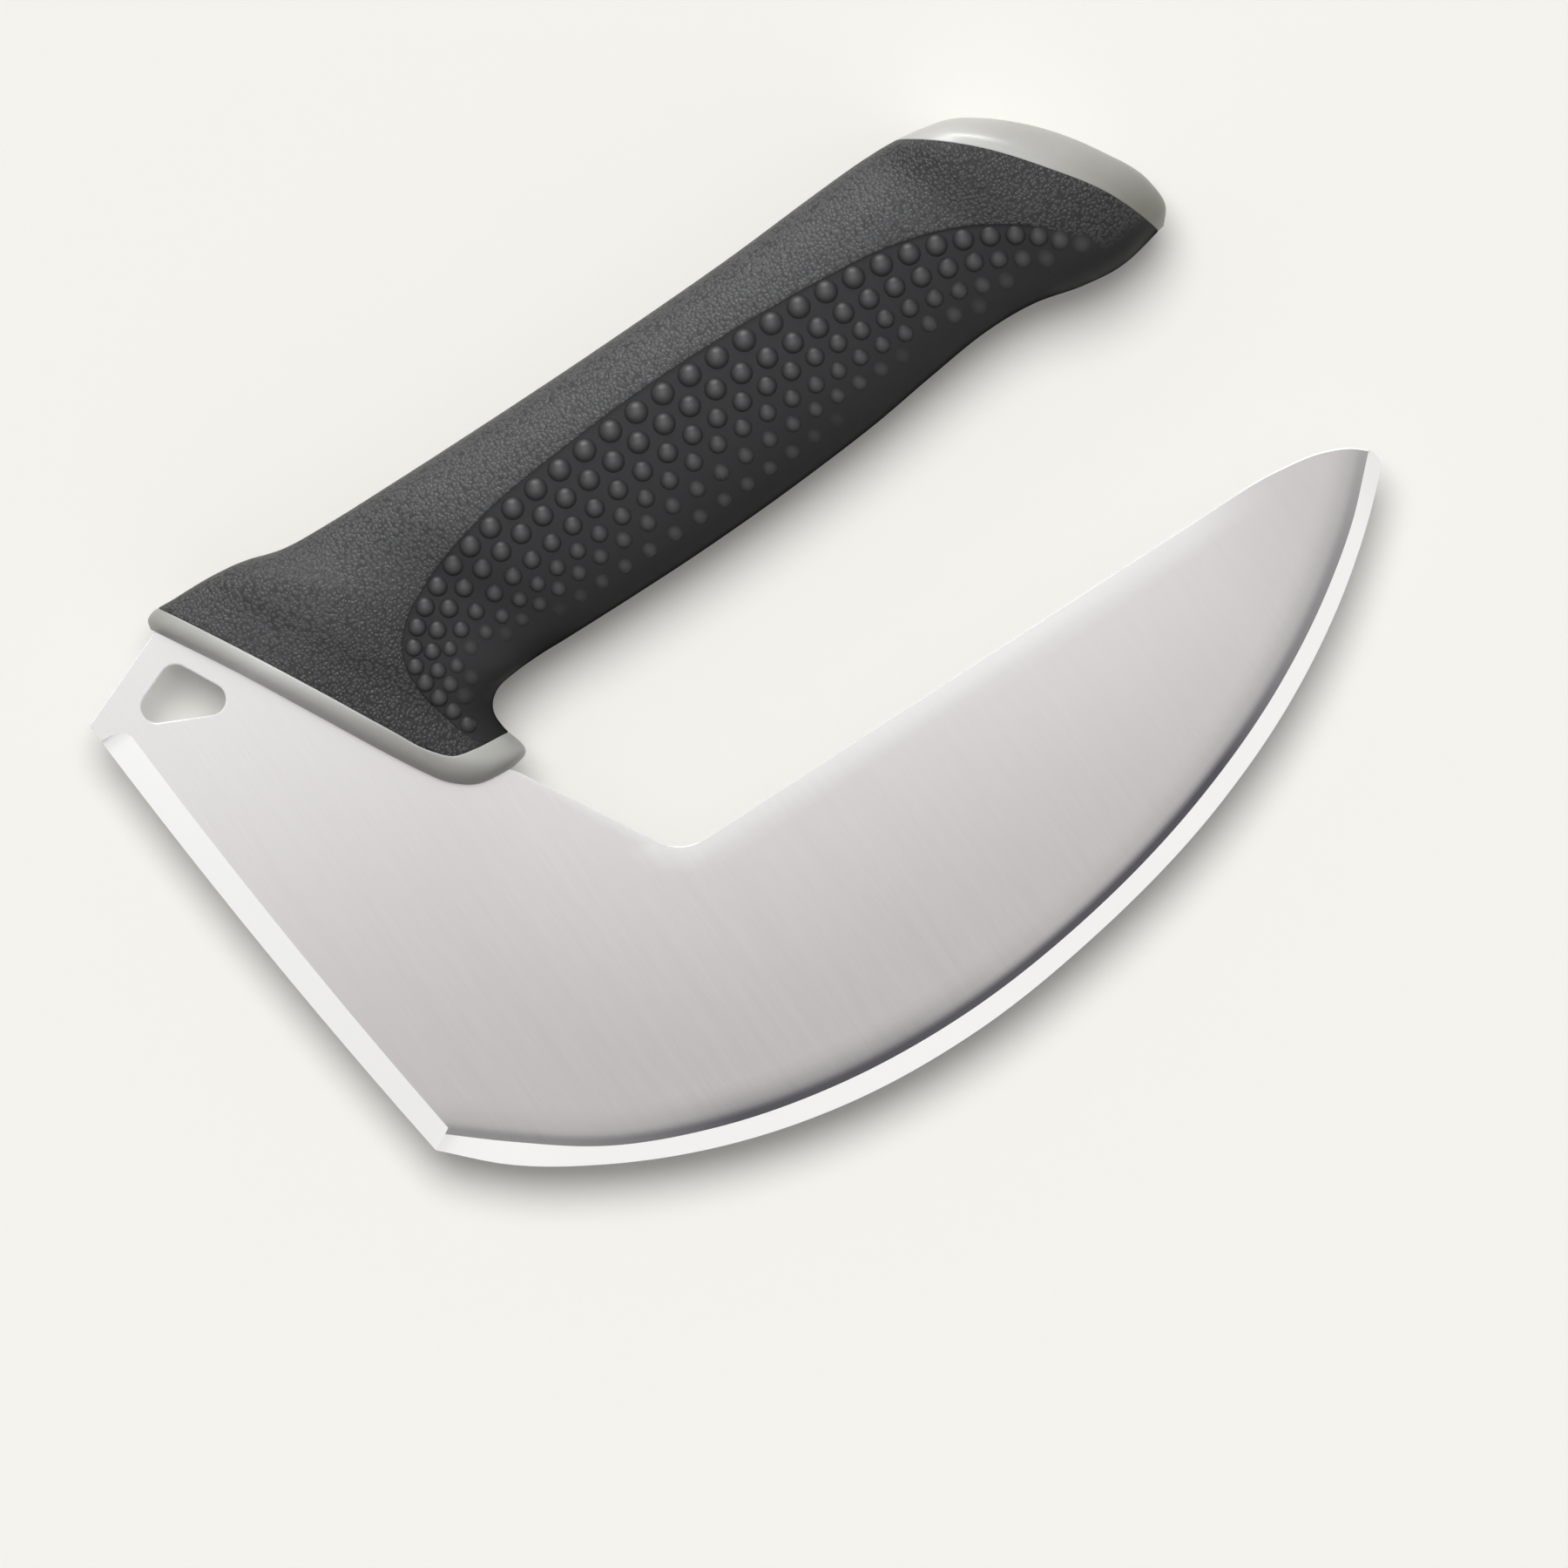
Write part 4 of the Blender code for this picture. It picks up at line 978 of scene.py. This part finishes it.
# Painted light and shade: how pale they are between belly and spine (mm), and the collar's painted
# change from its darker mouth side to its paler seam side
COLLAR_LIGHT_AND_SHADE = ((-14, 0.48), (-8, 0.52), (0, 0.60), (12, 0.76), (22, 0.90), (33, 0.58), (43, 0.42))
CAP_LIGHT_AND_SHADE = ((-10, 0.09), (0, 0.14), (8, 0.36), (16, 0.58), (24, 0.67), (29, 0.88), (35, 0.92))
COLLAR_SHADE_SLANT = 0.12
CORE_STEP = 0.0006
CORE_SHARP = math.radians(50)


def make_core(angles, collar_seam, cap_seam):
    """Collar and cap, the parts of the light core that show."""
    mouth, butt = np.zeros(len(angles)), np.full(len(angles), float(LAST))
    points, faces, pale, total = [], [], [], 0
    for first, last, distances, painted_light, shade_slant in (
        (mouth, collar_seam, ((), SEAM_ROWS), COLLAR_LIGHT_AND_SHADE, COLLAR_SHADE_SLANT),
        (cap_seam, butt, (SEAM_ROWS, ()), CAP_LIGHT_AND_SHADE, 0.0),
    ):
        places = column_rows(angles, first, last, distances, CORE_STEP)
        made, made_faces = sleeve(places, angles, seam_sink(places, distances))
        along = np.repeat(np.linspace(-1, 1, len(places)), len(angles))
        # painted light and shade across collar and cap, and the collar darker towards the blade
        pale.append(np.interp(made[:, 1] / MM, *np.array(painted_light).T) + shade_slant * along)
        points.append(made)
        faces += [[v + total for v in f] for f in made_faces]
        total += len(made)
    piece = new_piece("collar_and_cap", np.vstack(points), faces, [hard_plastic()])
    set_values(piece, "pale", np.concatenate(pale))
    piece.data.set_sharp_from_angle(angle=CORE_SHARP)
    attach(piece, "root")
    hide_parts("handle_core")


# Grip

GRIP_STEP = 0.00055
GRIP_SHARP = math.radians(60)

# Where the zone's border fades at both ends, and its recess begins and fades (mm)
HEEL_X = (-66, -60)
HEEL_Y = (-9, -4)
BUTT_X = (66, 76)
RECESS_EDGE = (-0.15, 0.45)
RECESS_FADE_Y = (1, 12)

# Dots: depth of the foot, turn past the widest ring, lean of the seen middle, height from which a
# dot's top gets the full painted light, zone value of a point inside, and height from which the side
# counts as the upper one
DOT_RINGS = 6
DOT_SEGMENTS = 22
DOT_FOOT = 0.00035
DOT_TURN = -0.2
DOT_LEAN = 0.4
FULL_HEIGHT = 0.0005
DOT_INSIDE = 5.0
UPPER_SIDE = 0.002

# Search for a point seen from above: turns, step of its slopes, and its limits
SEEK_TURNS = 12
SEEK_STEP = 1e-4
SEEK_REACH = 0.3
SEEK_ENDS = 0.2
SEEK_SIDES = 0.05

# Ranges (mm) of the smooth belly painted darker as shade, of the deeper grain painted darker as
# shade, and of the side that turns down without gloss
LOW_Y = (-3.5, 0.5)
LOW_X = (-63, -57)
LOW_SLANT = 0.4
DEEP_SHADE_Y = (6, 34)
DEEP_SHADE_SLANT = 0.04
DEEP_SHADE_BUTT_X = (44, 62)
DEEP_SHADE_BUTT = 0.8
DEEP_SHADE_HEEL_X = (-68, -30)
HEEL_SLANT = 0.5
DEEP_SHADE_HEEL = 0.45
RIM_Z = (2, 8)
RIM_Y = (5, 12)


def zone_values(points):
    """How far inside the zone's border points lie (mm), and how far it has faded there."""
    zone = -offset_from(points[:, :2], smooth_line(ZONE_LINE, LINE_STEP)) / MM
    x, y = points[:, 0] / MM, points[:, 1] / MM
    heel = (1 - smoothstep(x, *HEEL_X)) * (1 - smoothstep(y, *HEEL_Y))
    return zone, np.clip(heel + smoothstep(x, *BUTT_X), 0, 1)


def zone_sink(points):
    """How far the zone is sunk, fading towards the belly and both ends."""
    zone, fade = zone_values(points)
    recess = smoothstep(zone, *RECESS_EDGE) * (1 - fade)
    return -ZONE_DEPTH * recess * smoothstep(points[:, 1] / MM, *RECESS_FADE_Y)


def dot_row(count, guide):
    """The centres of a row's dots seen from above, in millimetres."""
    guide = np.array(guide)
    number, points = guide[:, 0], guide[:, 1:]
    slopes = np.gradient(points, number, axis=0)
    row = []
    for k in range(count):
        i = min(int(np.searchsorted(number, k, side="right")) - 1, len(number) - 2)
        span = number[i + 1] - number[i]
        ends = points[i], points[i + 1], slopes[i] * span, slopes[i + 1] * span
        row.append(hermite(*ends, (k - number[i]) / span))
    return np.array(row)


def dot_places():
    """Each dot's centre seen from above, its diameter and its height. Dots are smaller where
    they stand close, and lower at a row's ends, but not at the first row's heel end."""
    dots = []
    for number, (count, diameter, height, guide) in enumerate(DOT_ROWS):
        row = dot_row(count, guide)
        pitch = np.linalg.norm(np.gradient(row, axis=0), axis=1)
        for k, (x, y) in enumerate(row):
            size = LEAST_DOT + (1 - LEAST_DOT) * min(1.0, pitch[k] / FULL_PITCH)
            from_end = count - 1 - k if number == 0 else min(k, count - 1 - k)
            rise = LEAST_RISE + (1 - LEAST_RISE) * min(1.0, (from_end + 0.5) / FADED_DOTS)
            dots.append((x * MM, y * MM, diameter * size, height * size * rise))
    return dots


def surface_at(x, y, place, angle):
    """Place and angle where the upper side has this x and y, sought from a start."""
    for _ in range(SEEK_TURNS):
        near = np.array([(place, angle), (place + SEEK_STEP, angle), (place, angle + SEEK_STEP)])
        here, along, around = handle.at(*near.T)[:, :2]
        slopes = np.stack([along - here, around - here], 1) / SEEK_STEP
        step = np.linalg.lstsq(slopes, np.array([x, y]) - here, rcond=None)[0]
        step = np.clip(step, -SEEK_REACH, SEEK_REACH)
        place = float(np.clip(place + step[0], SEEK_ENDS, LAST - SEEK_ENDS))
        angle = float(np.clip(angle + step[1], SEEK_SIDES, math.pi - SEEK_SIDES))
    return place, angle


def dot_spots(places, angles, surface):
    """Place, angle, diameter and height of every dot on both sides."""
    upper = surface[..., 2] > UPPER_SIDE
    starts, places, angles = surface[upper], places[upper], angles[upper]
    spots = []
    for x, y, diameter, height in dot_places():
        nearest = int(np.argmin((starts[:, 0] - x) ** 2 + (starts[:, 1] - y) ** 2))
        place, angle = places[nearest], angles[nearest]
        lean = handle.spot(place, angle)[1][:2] * height * DOT_LEAN
        place, angle = surface_at(x - lean[0], y - lean[1], place, angle)
        for turn in (angle, 2 * math.pi - angle):
            spots.append((place, turn, diameter, height))
    return spots


def dome(centre, normal, radius, height):
    """A round dome on a surface, reaching a little below it, with shares of its height."""
    side = np.cross(normal, (0.0, 1.0, 0.0))
    side /= np.linalg.norm(side)
    other = np.cross(normal, side)
    ball = (radius**2 + height**2) / (2 * height)
    widest = math.acos(max(DOT_TURN, (ball - height - DOT_FOOT) / ball))
    tilt = np.repeat(widest * np.arange(1, DOT_RINGS + 1) / DOT_RINGS, DOT_SEGMENTS)[:, None]
    turn = np.linspace(0, 2 * math.pi, DOT_SEGMENTS, endpoint=False)
    turn = np.tile(turn, DOT_RINGS)[:, None]
    drop = ball * (1 - np.cos(tilt))
    out = ball * np.sin(tilt) * (np.cos(turn) * side + np.sin(turn) * other)
    points = np.vstack([centre + normal * height, centre + normal * (height - drop) + out])
    shares = np.append(1.0, np.maximum(0, 1 - drop / height))
    index = 1 + np.arange(len(tilt)).reshape(DOT_RINGS, DOT_SEGMENTS)
    cap = [[0, a, b] for a, b in zip(index[0].tolist(), np.roll(index[0], -1).tolist())]
    return points, cap + grid_quads(index), shares


def set_soft_values(piece, points):
    """Where the belly is smooth and painted darker, where the grain is deep and painted darker as
    shade, and where the rim is without gloss.
    """
    x, y, z = points.T / MM
    belly = 1 - smoothstep(y, *LOW_Y)
    set_values(piece, "low", belly * smoothstep(x - LOW_SLANT * y, *LOW_X))
    deep_grain_and_shade = 1 - smoothstep(y + DEEP_SHADE_SLANT * x, *DEEP_SHADE_Y)
    butt = DEEP_SHADE_BUTT * smoothstep(x, *DEEP_SHADE_BUTT_X)
    heel = DEEP_SHADE_HEEL * (1 - smoothstep(x + HEEL_SLANT * y, *DEEP_SHADE_HEEL_X))
    set_values(piece, "deep_grain_and_shade", np.maximum(deep_grain_and_shade, np.maximum(butt, heel)))
    turned_down = 1 - smoothstep(np.abs(z), *RIM_Z)
    set_values(piece, "rim", turned_down * (1 - smoothstep(y, *RIM_Y)))


def make_grip(angles, collar_seam, cap_seam):
    """The dark sleeve with its sunk zone, and the dots on both sides."""
    distances = (SEAM_ROWS, SEAM_ROWS)
    places = column_rows(angles, collar_seam, cap_seam, distances, GRIP_STEP)
    grid_a = np.broadcast_to(angles, places.shape)
    surface = handle.at(places, grid_a)
    flat_points = surface.reshape(-1, 3)
    sink = seam_sink(places, distances) + zone_sink(flat_points).reshape(places.shape)
    points, faces = sleeve(places, angles, sink)
    zone, fade = zone_values(flat_points)

    parts = [(points, zone, fade, np.zeros(len(points)))]
    total = len(points)
    for place, angle, diameter, height in dot_spots(places, grid_a, surface):
        spot, normal = handle.spot(place, angle)
        centre = spot + normal * zone_sink(spot[None])[0]
        made, made_faces, shares = dome(centre, normal, diameter / 2, height)
        inside_zone = np.full(len(made), DOT_INSIDE)
        # share of the painted light: full on the dome's top, falling to its foot and on low domes
        pale = shares * min(1.0, height / FULL_HEIGHT)
        parts.append((made, inside_zone, np.zeros(len(made)), pale))
        faces += [[v + total for v in f] for f in made_faces]
        total += len(made)
    points, *values = (np.concatenate(part) for part in zip(*parts))
    piece = new_piece("grip_sleeve", points, faces, [soft_plastic()])
    for name, value in zip(("zone", "fade", "dot"), values):
        set_values(piece, name, value)
    set_soft_values(piece, points)
    piece.data.set_sharp_from_angle(angle=GRIP_SHARP)
    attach(piece, "root")
    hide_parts("grip")


# Stage

PHOTO_TURN = math.radians(35)
PHOTO_CENTRE = (-0.02336, -0.04644, 0.0)
PHOTO_WIDTH = 0.27273
CAMERA_HEIGHT = 8.0
CAMERA_REACH = 20.0
SENSOR = 36.0

PALE = (0.905, 0.896, 0.855)
FLOOR_REACH = 4.0
FLOOR_ROUGH = 0.9
SHADOW_LIFT = 0.14

# The world as light, and the pale one that reflections see, fading towards the horizon
WORLD_LIGHT = 0.22
SKY_HEIGHTS = (-0.1, 0.75)
SKY_LEVELS = (0.35, 1.0)

KEY_TILT = math.radians(21)
KEY_AZIMUTH = math.radians(12)
KEY_LIGHT = 2.62
KEY_SPREAD = math.radians(37)

# Two soft boxes that only show in glossy surfaces. The top one, placed by its lower and its right
# edge, gives the plate its gradient
TOP_BOX_HEIGHT = 0.27
TOP_BOX_TURN = math.radians(15)
TOP_BOX_EDGE = -0.042
TOP_BOX_RIGHT = 0.092
TOP_BOX_SIZE = (0.30, 0.45)
TOP_BOX_LIGHT = 0.77
TOP_BOX_TINT = (0.95, 1.0, 0.965)
BACK_BOX_WAY = (-0.20, 0.90)
BACK_BOX_RISE = 0.30
BACK_BOX_SIZE = (0.60, 0.30)
BACK_BOX_LIGHT = 12.0

UP = Vector((0, 0, 1))


def photo_direction(right, up):
    """A level direction by the photograph's right and up."""
    c, s = math.cos(PHOTO_TURN), math.sin(PHOTO_TURN)
    return Vector((right * c + up * s, -right * s + up * c, 0))


def make_camera():
    """Straight above the blade, turned so the handle rises to the right."""
    data = bpy.data.cameras.new("camera")
    data.sensor_width = SENSOR
    data.lens = SENSOR * CAMERA_HEIGHT / PHOTO_WIDTH
    data.clip_end = CAMERA_REACH
    camera = add_object("camera", data)
    camera.location = Vector(PHOTO_CENTRE) + Vector(OFFSET) + UP * CAMERA_HEIGHT
    camera.rotation_euler = (0, 0, -PHOTO_TURN)
    bpy.context.scene.camera = camera


def make_floor():
    """A plain pale floor, its shadows lightened for the camera only."""
    r = FLOOR_REACH
    mesh = bpy.data.meshes.new("floor")
    mesh.from_pydata([(-r, -r, 0), (r, -r, 0), (r, r, 0), (-r, r, 0)], [], [(0, 1, 2, 3)])
    floor = add_object("floor", mesh)
    n = Finish("floor")
    n.set("Base Color", (*PALE, 1))
    n.set("Roughness", FLOOR_ROUGH)
    n.set("Specular IOR Level", 0.0)
    glow = n.add("ShaderNodeEmission", {"Color": (*PALE, 1), "Strength": 1.0}).outputs[0]
    seen = n.add("ShaderNodeLightPath").outputs["Is Camera Ray"]
    share = n.times(seen, SHADOW_LIFT)
    mix = n.add("ShaderNodeMixShader", {0: share, 1: n.shader.outputs[0], 2: glow})
    n.put(n.tree.nodes["Material Output"], "Surface", mix.outputs[0])
    mesh.materials.append(n.material)


def make_world():
    """Soft even light, pale where the camera or a reflection sees it."""
    world = bpy.data.worlds.new("studio")
    bpy.context.scene.world = world
    world.use_nodes = True
    n = Nodes(world.node_tree)
    light = n.tree.nodes["Background"]
    n.put(light, "Color", (1, 1, 1, 1))
    n.put(light, "Strength", WORLD_LIGHT)
    rays = n.add("ShaderNodeLightPath").outputs
    way = n.add("ShaderNodeTexCoord").outputs["Generated"]
    height = n.add("ShaderNodeSeparateXYZ", {0: way}).outputs["Z"]
    level = n.ramp(height, *SKY_HEIGHTS, *SKY_LEVELS)
    level = n.math("MAXIMUM", level, rays["Is Camera Ray"])
    pale = n.add("ShaderNodeBackground", {"Color": (*PALE, 1), "Strength": level})
    seen = n.math("MAXIMUM", rays["Is Camera Ray"], rays["Is Transmission Ray"])
    seen = n.math("MAXIMUM", seen, rays["Is Glossy Ray"])
    mix = n.add("ShaderNodeMixShader", {0: seen, 1: light.outputs[0], 2: pale.outputs[0]})
    n.put(n.tree.nodes["World Output"], "Surface", mix.outputs[0])


def new_lamp(name, kind, towards, turn=0.0):
    """A lamp that shines from a direction, turned about it."""
    lamp = add_object(name, bpy.data.lights.new(name, kind))
    direction = towards.normalized()
    lamp.rotation_mode = "QUATERNION"
    lamp.rotation_quaternion = direction.to_track_quat("Z", "Y")
    lamp.rotation_quaternion.rotate(Quaternion(direction, turn))
    return lamp


def make_box(name, place, towards, size, radiance, turn=0.0, colour=(1, 1, 1)):
    """A flat soft box that only shows in glossy surfaces."""
    lamp = new_lamp(name, "AREA", towards, turn)
    lamp.location = Vector(OFFSET) + place
    lamp.data.shape = "RECTANGLE"
    lamp.data.size, lamp.data.size_y = size
    lamp.data.energy = radiance * 4 * size[0] * size[1]
    lamp.data.color = colour
    lamp.visible_camera = False
    lamp.visible_diffuse = False


def make_lights():
    """The soft main light, which glossy surfaces don't show, and both soft boxes."""
    level = photo_direction(-math.sin(KEY_AZIMUTH), math.cos(KEY_AZIMUTH))
    towards = level * math.sin(KEY_TILT) + UP * math.cos(KEY_TILT)
    lamp = new_lamp("key", "SUN", towards)
    lamp.data.energy = KEY_LIGHT
    lamp.data.angle = KEY_SPREAD
    lamp.visible_glossy = False

    width, reach = TOP_BOX_SIZE
    rise = photo_direction(-math.sin(TOP_BOX_TURN), math.cos(TOP_BOX_TURN))
    side = photo_direction(math.cos(TOP_BOX_TURN), math.sin(TOP_BOX_TURN))
    place = rise * (TOP_BOX_EDGE + reach / 2) + UP * TOP_BOX_HEIGHT
    place += side * (TOP_BOX_RIGHT - width / 2)
    turn = math.atan2(rise.y, rise.x) - math.pi / 2
    make_box("top_box", place, UP, TOP_BOX_SIZE, TOP_BOX_LIGHT, turn, TOP_BOX_TINT)
    back = photo_direction(*BACK_BOX_WAY) + UP * BACK_BOX_RISE
    make_box("back_box", back, back, BACK_BOX_SIZE, BACK_BOX_LIGHT)


bpy.context.scene.view_settings.view_transform = "Standard"
make_camera()
make_floor()
make_world()
make_lights()

make_blade()
columns = column_angles()
collar_edge = crossing(COLLAR_LINE, columns, *COLLAR_PLACES)
cap_edge = crossing(CAP_LINE, columns, *CAP_PLACES)
make_core(columns, collar_edge, cap_edge)
make_grip(columns, collar_edge, cap_edge)
